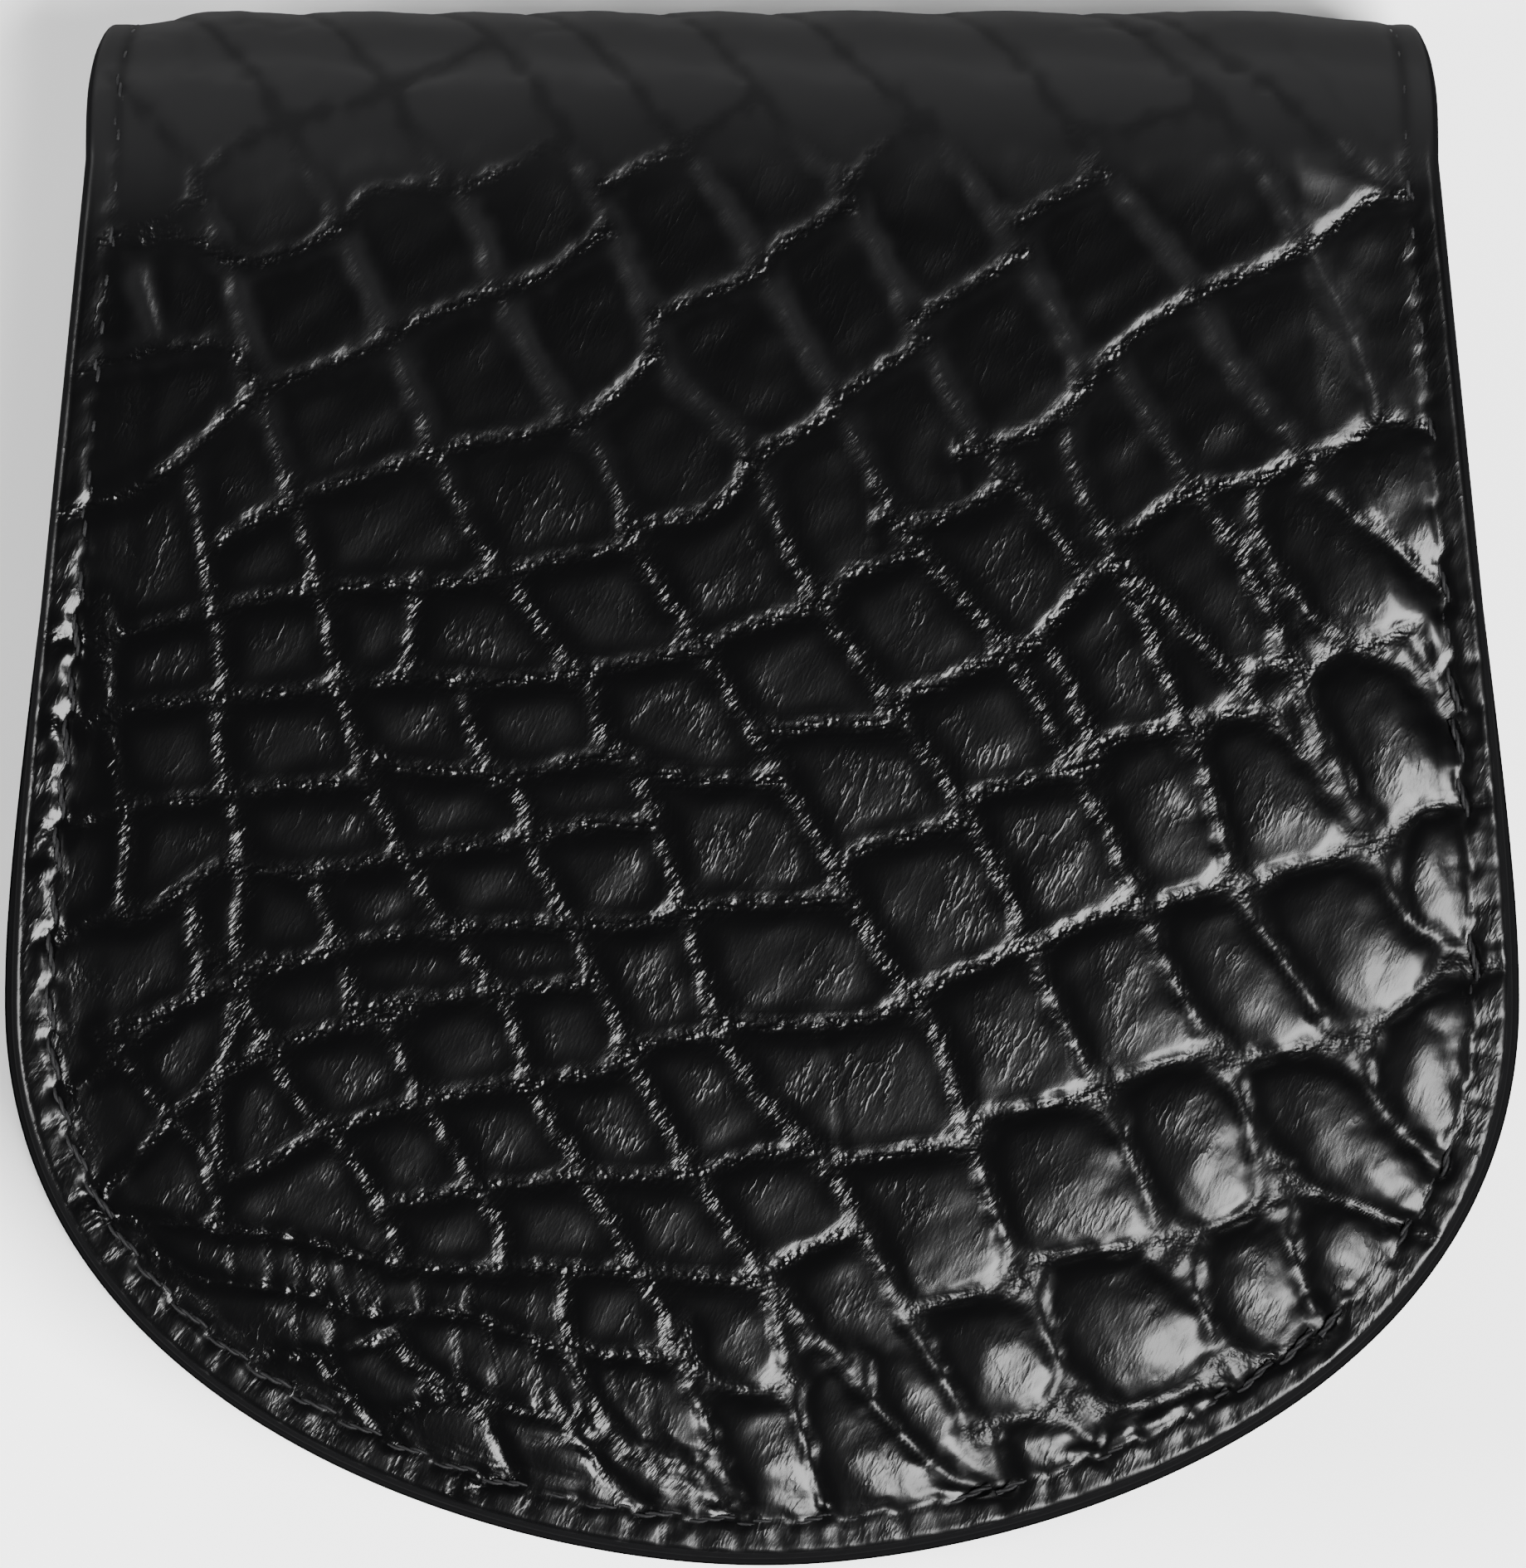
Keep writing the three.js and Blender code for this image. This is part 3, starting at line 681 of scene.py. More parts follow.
class Skin:
    """Height of the outer face over one pattern, and the masks that its finish reads."""

    REACH = 3.5
    BORDER_REACH = 8
    LEAN = (-4, 3)      # steps of the chart by which the pillows lean to the left and to the fold
    CORNER = 0.36       # how much the distances to grooves are rounded where they meet
    WIDE_CORNER = 0.95
    CREASE_CORNER = 0.2

    def __init__(self, border, grooves, rises, creases, leather, stitches, top, front):
        self.front = front
        self.border = border
        half = FLAP_HALF_WIDTH + BODY_PROUD + 1
        chart = Chart((-half, FLAP_TIP_Y - FOLD_Y - BODY_PROUD - 1), (half, top + 1))
        self.chart = chart
        edge = border.at(np.arange(0, border.length, 0.6))
        self.inset = chart.near(edge, self.BORDER_REACH)
        self.gap, self.round_gap = chart.soft_near(grooves + rises, self.REACH,
                                                   self.CORNER, self.WIDE_CORNER)
        self.rise_gap, = chart.soft_near(rises, self.REACH, self.CORNER)
        self.crease, = chart.soft_near(creases, self.REACH, self.CREASE_CORNER)
        self.arcs = seam_arcs(border, stitches.pitch)
        self.seam_shift = 0 if front else BODY_PROUD
        self.leather = leather
        self.work_out(stitches)

    def kinds(self):
        """Shares of the kinds of skin: soft at the fold, plump at the right, fine at the left."""
        u, v = self.chart.across, self.chart.up
        if not self.front:
            return 0 * u, PLUMP_BACK + 0 * u, 0 * u
        left = smooth_step(-6, -34, u)
        toe = smooth_step(-56, -70, v)
        return (smooth_step(SOFT[0] - 6 * left, SOFT[1], v + 0.02 * u),
                smooth_step(*PLUMP, 0.8 * u - 0.5 * v + 8 * toe),
                smooth_step(*FINE, -0.5 * u - 0.8 * v))

    def work_out(self, stitches):
        """Fills in the height over the base form, and the masks."""
        leather = self.leather
        u, v = self.chart.across, self.chart.up
        soft, plump, fine = self.kinds()
        rim = smooth_step(*RIM_DEEPENS, self.inset)
        depth = leather.groove_depth * (1 - 0.35 * soft + 2.2 * plump) * mix(0.55, 1, rim)
        width = leather.groove_width * (1 - 0.2 * soft + 0.15 * plump - 0.4 * fine)
        wobble = (0.09 + 0.09 * soft) * swell(u, v, 0.9, 11) + 0.05 * swell(u, v, 0.5, 12)
        row = fade(self.rise_gap, 0.8)
        bed = leather.bed_width / 2 * (1 + 1.3 * plump * (1 - 0.8 * row) - 0.7 * fine)
        gap = mix(self.gap, self.round_gap + 0.25, plump)
        out = np.maximum(gap + wobble - bed, 0)

        valley = fade(out, width, mix(1.3, 1.2, plump))
        crease = fade(np.maximum(self.crease + wobble, 0), CREASE_WIDTH, 1.5)
        leaning = np.roll(out, self.LEAN, axis=(1, 0))
        pillow = (1 - fade(leaning, PILLOW_WIDTH)) * (1 - valley)
        lumps = (0.022 * swell(u, v, 1.7, 5) + 0.01 * plump * swell(u, v, 1.3, 6)
                 + 0.014 * fine * swell(u, v, 0.9, 7))
        height = ((0.06 + 0.5 * plump + 0.14 * soft) * pillow * rim
                  - depth * valley - (0.06 + 0.04 * plump + 0.05 * fine) * crease
                  + lumps * (1 - valley) * mix(0.35, 1, rim) * (1 - 0.75 * soft))

        narrow = 1 - 0.35 * fine
        self.groove = np.clip(fade(out, GRAIN_REACH * narrow) + mix(0.4, 1, fine) * crease, 0, 1)
        self.rising = fade(np.maximum(self.rise_gap + wobble - bed, 0), ROW_REACH)
        bank = fade(out, BANK_REACH * narrow) * mix(1, 0.6, smooth_step(-20, -4, v + 0.1 * u))
        self.bank = np.maximum(bank, crease * fine)
        self.middle = (smooth_step(0.7 - 0.35 * fine, 1.9 - 0.8 * fine, gap)
                       * mix(1, 0.35, smooth_step(-34, -6, v + 0.2 * u)))
        self.plump = plump
        # Bands along the falls below the fold join the soft skin. They get its rougher, duller coat
        # and its lighter colour, which is painted sheen.
        painted_sheen_band = fade(out, SHEEN_BAND_REACH) * (1 - 0.85 * row) * smooth_step(-25, -8, v)
        self.soft = np.maximum(soft, 0.75 * painted_sheen_band) if self.front else soft
        self.press_seam(height, stitches)

    def press_seam(self, height, stitches):
        """Presses the seam into the border, with its holes and the puckers between them."""
        chart, border, arcs = self.chart, self.border, self.arcs
        line = seam_points(border, np.arange(0, border.length, 0.8), 0, self.seam_shift)
        trough = fade(chart.near(line, 2), TROUGH_WIDTH)
        half = stitches.length / 2 + 0.12
        side = half * math.sin(stitches.slant)
        starts = seam_points(border, arcs, -half, self.seam_shift - side)
        ends = seam_points(border, arcs, half, self.seam_shift + side)
        holes = np.full(chart.shape, 2.0)
        for point in np.vstack([starts, ends]):
            chart.near(np.array([point, point]), 1.2, holes)
        draw = np.random.default_rng(21)
        pressed = np.zeros(chart.shape)
        for start, end, size in zip(starts, ends, draw.uniform(0.6, 1.3, len(arcs))):
            chart.stamp(pressed, start, end, 0.3, size)
        ruffle = swell(chart.across, chart.up, 0.8, 31) * fade(self.inset - 1.3, 0.7)
        # Round the fold the seam's trough joins the banks. This darkens it with painted shade and
        # gives it grain and roughness.
        self.bank = np.maximum(self.bank, trough * self.soft)
        shown = mix(1, 0.3, smooth_step(-28, -14, chart.up))
        height = height - shown * (0.1 * trough + 0.1 * pressed + 0.12 * fade(holes, HOLE_WIDTH))
        self.height = height + 0.045 * shown * (1 - 0.5 * self.plump) * ruffle

    def base(self, inset, crown=0, reach=PUFF_TO):
        """Height of the plain form over the inner face at an inset from the edge."""
        round_edge = np.sqrt(np.clip(1 - (1 - np.clip(inset / EDGE_ROUNDING, 0, 1)) ** 2, 0, 1))
        return (RIM_THICKNESS * (0.5 + 0.5 * round_edge)
                + PUFF * smooth_step(PUFF_FROM, reach, inset)
                + crown * smooth_step(*CROWN_RISE, inset))

    def read(self, u, v, inset):
        """Height over the inner face, and the masks, at pattern points."""
        crown = 0
        if self.front:
            along = 2 * v / (FLAP_TIP_Y - FOLD_Y) - 1
            across = u / FLAP_HALF_WIDTH
            crown = FLAP_CROWN * np.clip((1 - across ** 2) * (1 - along ** 2), 0, 1)
        chart = self.chart
        detail = chart.read(self.height, u, v)
        if not self.front:
            detail = np.minimum(detail - BACK_SUNK, 0)
        painted = 1 - smooth_step(*EDGE_PAINTED, inset)
        reach = PUFF_TO + WIDE_PUFF * smooth_step(-22, -12, v) * smooth_step(18, 34, u) * self.front
        height = self.base(inset, crown, reach) + detail * smooth_step(0, RELIEF_STARTS, inset)
        masks = {name: chart.read(getattr(self, name), u, v) for name in MASKS}
        masks["groove"] *= 1 - painted
        return height, masks | {"painted": painted}


# ---- Meshes and objects ----


def mesh_of(name, points, faces=()):
    """A mesh of points in millimetres."""
    mesh = bpy.data.meshes.new(name)
    mesh.from_pydata((points * MM).tolist(), [], faces)
    return mesh


def store(mesh, name, kind, field, values):
    """Stores one value for each point of a mesh."""
    layer = mesh.attributes.new(name, kind, "POINT")
    layer.data.foreach_set(field, values.astype(np.float32).ravel())


def into_scene(name, data):
    """A new object of the scene."""
    made = bpy.data.objects.new(name, data)
    bpy.context.scene.collection.objects.link(made)
    return made


# ---- Cover shells ----

RINGS = (3.7, 3.4, 3.1, 2.85, 2.6, 2.4, 2.2, 2.0, 1.78, 1.55, 1.3, 1.05, 0.82, 0.62, 0.44, 0.28,
         0.15, 0.06, 0.0)      # insets of the outer face's rings, from the field to the edge
UNDER = ((0.06, 0.55), (0.22, 0.22), (0.5, 0.06), (1.0, 0.0))   # inset and height under the edge
FIELD_INSET = 4.0
INNER_RIM_INSET = 1.7
CORNER_SLOPE = 47              # where the side of the grid ends and the toe begins, in degrees
COARSE = 4                     # the inner face has one cell for this many of the outer face's


def filled(left, bottom, right, top, rounds=400):
    """Grid of points between four sides, evened out. Rows run from bottom to top."""
    rows, columns = len(left), len(bottom)
    s = np.linspace(0, 1, columns)[None, :, None]
    t = np.linspace(0, 1, rows)[:, None, None]
    grid = (1 - t) * bottom[None] + t * top[None] + (1 - s) * left[:, None] + s * right[:, None]
    grid -= ((1 - t) * ((1 - s) * bottom[0] + s * bottom[-1])
             + t * ((1 - s) * top[0] + s * top[-1]))
    for _ in range(rounds):
        grid[1:-1, 1:-1] = (grid[:-2, 1:-1] + grid[2:, 1:-1] + grid[1:-1, :-2] + grid[1:-1, 2:]) / 4
    return grid


def side_arcs(border, corner, rows, rare_rows, rare_from):
    """Arc lengths down the left side: a few rows round the hidden turn, then even ones."""
    if not rare_rows:
        return np.linspace(0, corner, rows + 1)
    half = len(border.path) // 2
    reach = float(np.interp(-rare_from, -border.path[:half, 1], border.arc[:half]))
    rare = np.linspace(0, reach, rare_rows, endpoint=False)
    return np.concatenate([rare, np.linspace(reach, corner, rows - rare_rows + 1)])


def grid_cells(first, tall, broad):
    """Quads of a grid of points that are numbered row by row from the first."""
    cell = np.arange((tall - 1) * (broad - 1))
    a = first + (cell // (broad - 1)) * broad + cell % (broad - 1)
    return np.column_stack([a, a + 1, a + broad + 1, a + broad])


def three_sides(first, tall, broad):
    """Point numbers down the left side of a grid, along its bottom and up its right side."""
    return first + np.concatenate([
        np.arange(tall - 1, -1, -1) * broad,
        np.arange(1, broad),
        np.arange(1, tall) * broad + broad - 1,
    ])


def cover_shell(name, skin, bend, columns, rows, rare_rows=0, rare_from=0):
    """Closed shell over a pattern: a fine outer face, a round edge and a plain inner face."""
    border = skin.border
    corner = border.arc_at_heading(math.radians(CORNER_SLOPE))
    left = side_arcs(border, corner, rows, rare_rows, rare_from)
    toe = np.linspace(corner, border.length - corner, columns + 1)
    arcs = np.concatenate([left, toe[1:], (border.length - left[::-1])[1:]])
    loop = border.at(arcs, FIELD_INSET)
    top_left, top_right = loop[0], loop[-1]
    share = np.linspace(0, 1, columns + 1)[:, None]
    grid = filled(loop[:rows + 1][::-1], loop[rows:rows + columns + 1], loop[rows + columns:],
                  top_left + (top_right - top_left) * share)

    places, marks, faces = [], [], []
    count = 0

    def add(points, height, masks=None):
        """Adds pattern points at a height and returns the number of the first."""
        nonlocal count
        first = count
        flat = points.reshape(-1, 2)
        places.append(bend(flat[:, 0], flat[:, 1], np.broadcast_to(height, len(flat))))
        marks.append(masks or {})
        count += len(flat)
        return first

    chart = skin.chart
    flat = grid.reshape(-1, 2)
    inset = np.maximum(chart.read(skin.inset, flat[:, 0], flat[:, 1]), FIELD_INSET)
    field = add(grid, *skin.read(flat[:, 0], flat[:, 1], inset))
    wide = columns + 1
    faces.append(grid_cells(field, rows + 1, wide))
    loops = [three_sides(field, rows + 1, wide)]
    for distance in RINGS:
        points = border.at(arcs, distance)
        height, masks = skin.read(points[:, 0], points[:, 1], np.full(len(arcs), distance))
        loops.append(np.arange(len(arcs)) + add(points, height, masks))
    for distance, height in UNDER:
        points = border.at(arcs, distance)
        start = add(points, height * RIM_THICKNESS, {"painted": np.ones(len(arcs))})
        loops.append(np.arange(len(arcs)) + start)
    for inner, outer in zip(loops, loops[1:]):
        faces.append(np.column_stack([inner[:-1], outer[:-1], outer[1:], inner[1:]]))

    picked = np.arange(0, len(arcs), COARSE)
    coarse_rim = picked // COARSE + add(border.at(arcs[picked], INNER_RIM_INSET), 0.0)
    plain = grid[::COARSE, ::COARSE]
    tall, broad = plain.shape[:2]
    start = add(plain, 0.0)
    faces.append(grid_cells(start, tall, broad)[:, [0, 3, 2, 1]])
    inner_rim = three_sides(start, tall, broad)
    faces.append(np.column_stack([coarse_rim[:-1], inner_rim[:-1], inner_rim[1:], coarse_rim[1:]]))
    loose = [face for block in faces for face in block.tolist()]
    last = loops[-1]
    for k in range(len(picked) - 1):
        fine = last[picked[k]:picked[k + 1] + 1].tolist()
        loose.append([int(coarse_rim[k]), int(coarse_rim[k + 1])] + fine[::-1])
    section = [int(ring[0]) for ring in loops[::-1]]
    section += (field + rows * wide + np.arange(1, columns)).tolist()
    section += [int(ring[-1]) for ring in loops]
    section += [int(coarse_rim[-1])]
    section += (start + (tall - 1) * broad + np.arange(broad - 1, -1, -1)).tolist()
    section += [int(coarse_rim[0])]
    loose.append(section)

    mesh = mesh_of(name, np.vstack(places), loose)
    for mask in (*MASKS, "painted"):
        values = [block.get(mask, np.zeros(len(place))) for block, place in zip(marks, places)]
        store(mesh, mask, "FLOAT", "value", np.concatenate(values))
    return mesh


# ---- Inner pieces ----


def closed_sweep(name, rows):
    """Mesh of closed sections joined in order, with flat ends."""
    rows = np.array(rows, float)
    count, size = rows.shape[:2]
    a = np.arange((count - 1) * size)
    b = (a // size) * size + (a + 1) % size
    faces = np.column_stack([a, b, b + size, a + size]).tolist()
    faces.append(list(range(size))[::-1])
    faces.append([(count - 1) * size + j for j in range(size)])
    return mesh_of(name, rows.reshape(-1, 3), faces)


def rounded_corner(before, corner, after, radius):
    """Points of a fillet that replaces a corner."""
    before, corner, after = np.array([before, corner, after], float)
    start, end = (corner + (to - corner) / np.linalg.norm(to - corner) * radius
                  for to in (before, after))
    return pulled(start, corner, end, 6)


def gusset_section():
    """Closed section of the gusset strip: (inset from the flap's edge, height)."""
    low, high = FULL + GAP, PANEL_Z - GAP
    wall, inner = GUSSET_INSET, GUSSET_INSET + LEATHER
    corners = [(FLANGE_EDGE_INSET, low + LEATHER), (wall, low + LEATHER), (wall, high),
               (TOP_TURN_INSET, high), (TOP_TURN_INSET, high - LEATHER), (inner, high - LEATHER),
               (inner, low), (FLANGE_EDGE_INSET, low)]
    edge, inside, outside = 0.3, GUSSET_BEND * 0.4, GUSSET_BEND + 0.5
    radii = (edge, inside, outside, edge, edge, inside, outside, edge)
    turns = zip(corners[-1:] + corners, corners, corners[1:] + corners[:1], radii)
    return np.vstack([rounded_corner(*turn) for turn in turns])


GUSSET_SAG = 0.28               # how far the gusset's wall gives inwards


def gusset_mesh():
    """The gusset: one strip swept round the flap's outline and into the fold."""
    reach = INNER_RADIUS - 4 * GAP
    ahead = np.column_stack([np.full(8, FOLD_HALF_WIDTH), np.linspace(0, reach, 9)[1:]])
    border = Border(np.vstack([half_outline(0), ahead]))
    section = gusset_section()
    wall_low, wall_high = FULL + GAP + LEATHER, PANEL_Z - GAP - LEATHER
    rows = []
    for arc in np.linspace(0, border.length, 300):
        inset, z = section[:, 0], section[:, 1]
        height = np.clip((z - wall_low) / (wall_high - wall_low), 0, 1)
        waves = 1 + 0.35 * math.sin(arc * 0.9) + 0.3 * math.sin(arc * 2.3)
        sag = GUSSET_SAG * np.sin(math.pi * height) * waves
        points = border.at(np.full(len(inset), arc), inset + sag)
        y = FOLD_Y + points[:, 1]
        depth = np.clip(y - FOLD_Y, 0, None) / (INNER_RADIUS - GAP)
        z = MID_Z + (z - MID_Z) * np.sqrt(np.clip(1 - depth ** 2, 0, 1))
        rows.append(np.column_stack([points[:, 0], y, z]))
    return closed_sweep("gusset_strip", rows)


def panel_outline():
    """Outline of the pocket panel, anticlockwise from the left end of its mouth."""
    mouth = CREST_Y - MOUTH_FROM_FOLD
    border = Border(half_outline(0))
    edge = border.at(np.linspace(0, border.length, 400), PANEL_INSET) + (0, FOLD_Y)
    edge = edge[edge[:, 1] < mouth]
    corner = edge[-1, 0]
    scoop = pulled((corner, mouth), (0, mouth - 2 * MOUTH_SCOOP), (-corner, mouth), 80)
    return np.vstack([edge, scoop])


PANEL_EDGE = ((0.30, 0.0), (0.12, 0.06), (0.02, 0.2), (0.0, 0.5),
              (0.02, 0.8), (0.12, 0.94), (0.30, 1.0))      # inset, and share of the thickness


def pocket_mesh():
    """The pocket's front panel, with rounded edges."""
    outline = panel_outline()
    ahead = np.roll(outline, -1, axis=0) - np.roll(outline, 1, axis=0)
    ahead /= np.linalg.norm(ahead, axis=1)[:, None]
    inwards = np.column_stack([-ahead[:, 1], ahead[:, 0]])
    rows = []
    for inset, share in PANEL_EDGE:
        points = outline + inwards * inset
        rows.append(np.column_stack([points, np.full(len(points), PANEL_Z + share * LEATHER)]))
    return closed_sweep("pocket_front", rows)


def stud_mesh():
    """The hidden press stud: a turned button with softened edges and a shallow ring."""
    low = PANEL_Z + LEATHER + GAP
    high = MID_Z + INNER_RADIUS - GAP
    radius = STUD_RADIUS
    profile = ((radius - 0.25, low), (radius - 0.07, low + 0.06), (radius, low + 0.22),
               (radius, high - 0.22), (radius - 0.07, high - 0.06), (radius - 0.25, high),
               (radius - 1.3, high), (radius - 1.5, high - 0.15), (radius - 1.9, high - 0.15),
               (radius - 2.1, high), (0.6, high))
    turn = np.linspace(0, 2 * math.pi, 64, endpoint=False)
    rows = [np.column_stack([r * np.cos(turn), STUD_Y + r * np.sin(turn), np.full(len(turn), z)])
            for r, z in profile]
    return closed_sweep("stud", rows)


# ---- Finishes ----


def add_node(tree, kind, settings=None, inputs=None):
    """One node, with its settings first and then the values or links of its sockets."""
    node = tree.nodes.new(kind)
    for name, value in (settings or {}).items():
        setattr(node, name, value)
    for key, value in (inputs or {}).items():
        value = getattr(value, "socket", value)
        if isinstance(value, bpy.types.NodeSocket):
            tree.links.new(value, node.inputs[key])
        else:
            node.inputs[key].default_value = value
    return node


def maths(operation, swapped=False):
    """An operator of Value that adds a Math node, with its two terms swapped or not."""
    def operator(value, other=0.0):
        terms = (other, value) if swapped else (value, other)
        node = value.finish.add("ShaderNodeMath", {"operation": operation},
                                dict(enumerate(terms)))
        return Value(value.finish, node.outputs[0])
    return operator


class Value:
    """A number socket of a finish. Arithmetic on it adds Math nodes."""

    def __init__(self, finish, socket):
        self.finish = finish
        self.socket = socket

    __add__, __radd__ = maths("ADD"), maths("ADD", True)
    __sub__, __rsub__ = maths("SUBTRACT"), maths("SUBTRACT", True)
    __mul__, __rmul__ = maths("MULTIPLY"), maths("MULTIPLY", True)
    __pow__ = maths("POWER")
    __abs__ = maths("ABSOLUTE")


class Finish:
    """A procedural material and the few calls that build its nodes."""

    def __init__(self, name, **constants):
        self.material = bpy.data.materials.new(name)
        self.material.use_nodes = True
        self.tree = self.material.node_tree
        self.surface = next(n for n in self.tree.nodes if n.type == "BSDF_PRINCIPLED")
        for socket, value in constants.items():
            self.surface.inputs[socket.replace("_", " ")].default_value = value
        self.place = self.add("ShaderNodeTexCoord").outputs["Object"]

    def add(self, kind, settings=None, inputs=None):
        """One node of the finish."""
        return add_node(self.tree, kind, settings, inputs)

    def mask(self, name):
        """Number stored on the mesh."""
        node = self.add("ShaderNodeAttribute", {"attribute_name": name})
        return Value(self, node.outputs["Fac"])

    def grain(self, size, turn=0.0, detail=2.0, roughness=0.5):
        """Noise with features of a size in millimetres along X, Y and Z, turned about Z."""
        placed = self.add("ShaderNodeMapping", {"vector_type": "TEXTURE"}, {
            "Vector": self.place,
            "Rotation": (0, 0, turn),
            "Scale": [MM * s for s in size],
        })
        noise = self.add("ShaderNodeTexNoise", None, {
            "Vector": placed.outputs[0],
            "Scale": 1.0,
            "Detail": detail,
            "Roughness": roughness,
        })
        return Value(self, noise.outputs["Fac"])

    def beads(self, size):
        """1 in the middle of each small round grain and 0 between them."""
        cells = self.add("ShaderNodeTexVoronoi", {"feature": "F1"}, {
            "Vector": self.place,
            "Scale": 1 / (MM * size),
        })
        return 1 - Value(self, cells.outputs["Distance"])

    def between(self, low, high, value):
        """Smooth rise of a value from 0 at low to 1 at high."""
        node = self.add("ShaderNodeMapRange", {"interpolation_type": "SMOOTHSTEP"}, {
            "Value": value,
            "From Min": low,
            "From Max": high,
        })
        return Value(self, node.outputs[0])

    def blend(self, share, first, second):
        """Colour between two, by a share."""
        node = self.add("ShaderNodeMix", {"data_type": "RGBA"}, {
            "Factor": share,
            "A": (*first, 1),
            "B": (*second, 1),
        })
        return node.outputs["Result"]

    def painted_over(self, share, colour, **constants):
        """Mixes a duller coat over the surface by a share."""
        over = self.add("ShaderNodeBsdfPrincipled", None,
                        {socket.replace("_", " "): value for socket, value in constants.items()})
        relief = self.surface.inputs["Normal"].links[0].from_socket
        self.tree.links.new(relief, over.inputs["Normal"])
        self.tree.links.new(colour, over.inputs["Base Color"])
        both = self.add("ShaderNodeMixShader", None,
                        {0: share, 1: self.surface.outputs[0], 2: over.outputs[0]})
        output = next(n for n in self.tree.nodes if n.type == "OUTPUT_MATERIAL")
        self.tree.links.new(both.outputs[0], output.inputs["Surface"])
        return self.material

    def paint(self, colour, roughness, height):
        """Feeds the surface. Height is in millimetres."""
        bump = self.add("ShaderNodeBump", None, {"Height": height, "Distance": MM})
        for name, source in (("Base Color", colour), ("Roughness", roughness.socket),
                             ("Normal", bump.outputs[0])):
            self.tree.links.new(source, self.surface.inputs[name])
        return self.material


# Colour of the painted edge. It is also the dark used as painted shade in the grooves round the
# fold.
EDGE_PAINT_AND_GROOVE_SHADE = (0.003, 0.003, 0.0032)
WRINKLE_TURN = math.radians(-24)
HATCH_TURN = math.radians(48)
PATCHES = (0.4, 0.62)           # range of noise over which patches of stronger grain set in


def crocodile_finish(leather):
    """Glazed black crocodile: glossy scales with fine wrinkles, granular grooves, painted edge, and
    a duller coat round the fold with painted sheen, and painted shade in its grooves.
    """
    finish = Finish("crocodile", IOR=1.5, Specular_IOR_Level=0.18)
    groove, rising, bank, middle, plump, soft, painted = (
        finish.mask(name) for name in (*MASKS, "painted"))
    wrinkle = 1 - abs(finish.grain((1.1, 3.4, 3.0), WRINKLE_TURN, 3.0, 0.6) * 2 - 1)
    ridge = wrinkle ** 10
    fine = finish.grain((0.16, 0.5, 0.5), WRINKLE_TURN, 1.0)
    bead = finish.beads(0.36)
    crumbs = finish.grain((0.3, 0.3, 0.3), 0.0, 1.0, 0.6)
    hatch = finish.grain((1.0, 0.27, 0.6), HATCH_TURN, 2.0, 0.6)
    patch = finish.between(*PATCHES, finish.grain((3.2, 3.2, 3.2), 0.0, 0.0))
    clump = finish.between(*PATCHES, finish.grain((1.0, 1.0, 1.0), 0.0, 1.0))
    calm = (1 - 0.9 * soft) * (1 - painted)
    height = (ridge * middle * calm * (0.005 + 0.013 * patch)
              + fine * middle * calm * (0.007 + 0.008 * patch + 0.003 * plump)
              + (bead + crumbs) * groove * rising * calm * (0.022 + 0.035 * clump)
              + crumbs * bank * rising * calm * (0.012 + 0.03 * plump)
              + hatch * bank * (1 - rising) * calm * (0.055 + 0.05 * clump) * (1 - 0.6 * plump))
    colour = finish.blend(groove, tuple(leather.colour), tuple(leather.groove_colour))
    roughness = (leather.gloss + 0.16 * soft + 0.05 * bank + 0.095 * middle
                 + (0.06 + 0.14 * bank) * plump)
    finish.paint(colour, roughness, height)
    # Round the fold the duller coat gets a lighter colour than the scales. This is painted sheen
    # for the light behind the fold that the leather reflects, fading down the flap and along the
    # falls. In the fold's grooves, banks and seam trough the colour falls back to the edge paint's
    # dark, which is painted shade.
    painted_sheen_share = soft * (1 - painted) * (1 - 0.6 * bank) * (1 - 0.25 * groove)
    edge_paint_and_painted_sheen = finish.blend(painted_sheen_share, EDGE_PAINT_AND_GROOVE_SHADE, tuple(leather.fold_sheen_colour))
    return finish.painted_over(0.985 * painted + 0.93 * soft * (1 - painted), edge_paint_and_painted_sheen,
                               Roughness=0.5, Specular_IOR_Level=0.0)


def smooth_leather_finish():
    """Satin black calf for the gusset and the pocket."""
    finish = Finish("smooth_leather", IOR=1.5, Specular_IOR_Level=0.16)
    pebble = finish.beads(0.42)
    grain = finish.grain((0.3, 0.3, 0.3), 0.0, 3.0)
    shade = finish.between(0.3, 0.7, finish.grain((4, 4, 4)))
    colour = finish.blend(shade, (0.0035, 0.0035, 0.0037), (0.006, 0.006, 0.0062))
    return finish.paint(colour, 0.42 + 0.12 * grain, pebble * 0.025 + grain * 0.02)


def thread_finish(stitches):
    """Waxed two-ply thread."""
    finish = Finish("waxed_thread", IOR=1.45, Specular_IOR_Level=0.16)
    fibre = finish.grain((0.05, 0.05, 0.05), 0.0, 2.0)
    colour = finish.blend(fibre, tuple(stitches.colour), tuple(2 * c for c in stitches.colour))
    return finish.paint(colour, 0.5 + 0.15 * fibre, fibre * 0.012)


def stud_finish():
    """Turned steel, satin."""
    finish = Finish("stud_metal", Metallic=1.0)
    turned = finish.grain((0.08, 0.08, 2.0), 0.0, 2.0)
    colour = finish.blend(turned, (0.26, 0.26, 0.27), (0.36, 0.36, 0.37))
    return finish.paint(colour, 0.3 + 0.12 * turned, turned * 0.004)


# ---- Stitches ----

SMALLEST = (0.93, 0.9, 0.94)    # shares of a stitch's length, width and height
LARGEST = (1.05, 1.08, 1.06)
PLY_RADIUS = 0.29               # shares of the thread's thickness
PLY_APART = 0.21
STITCH_SINK = 0.26
STITCH_TURNS = 1.5              # turns of the two plies over one stitch
HIDDEN_ENDS = 0.35              # length of a stitch that is out of sight in its holes


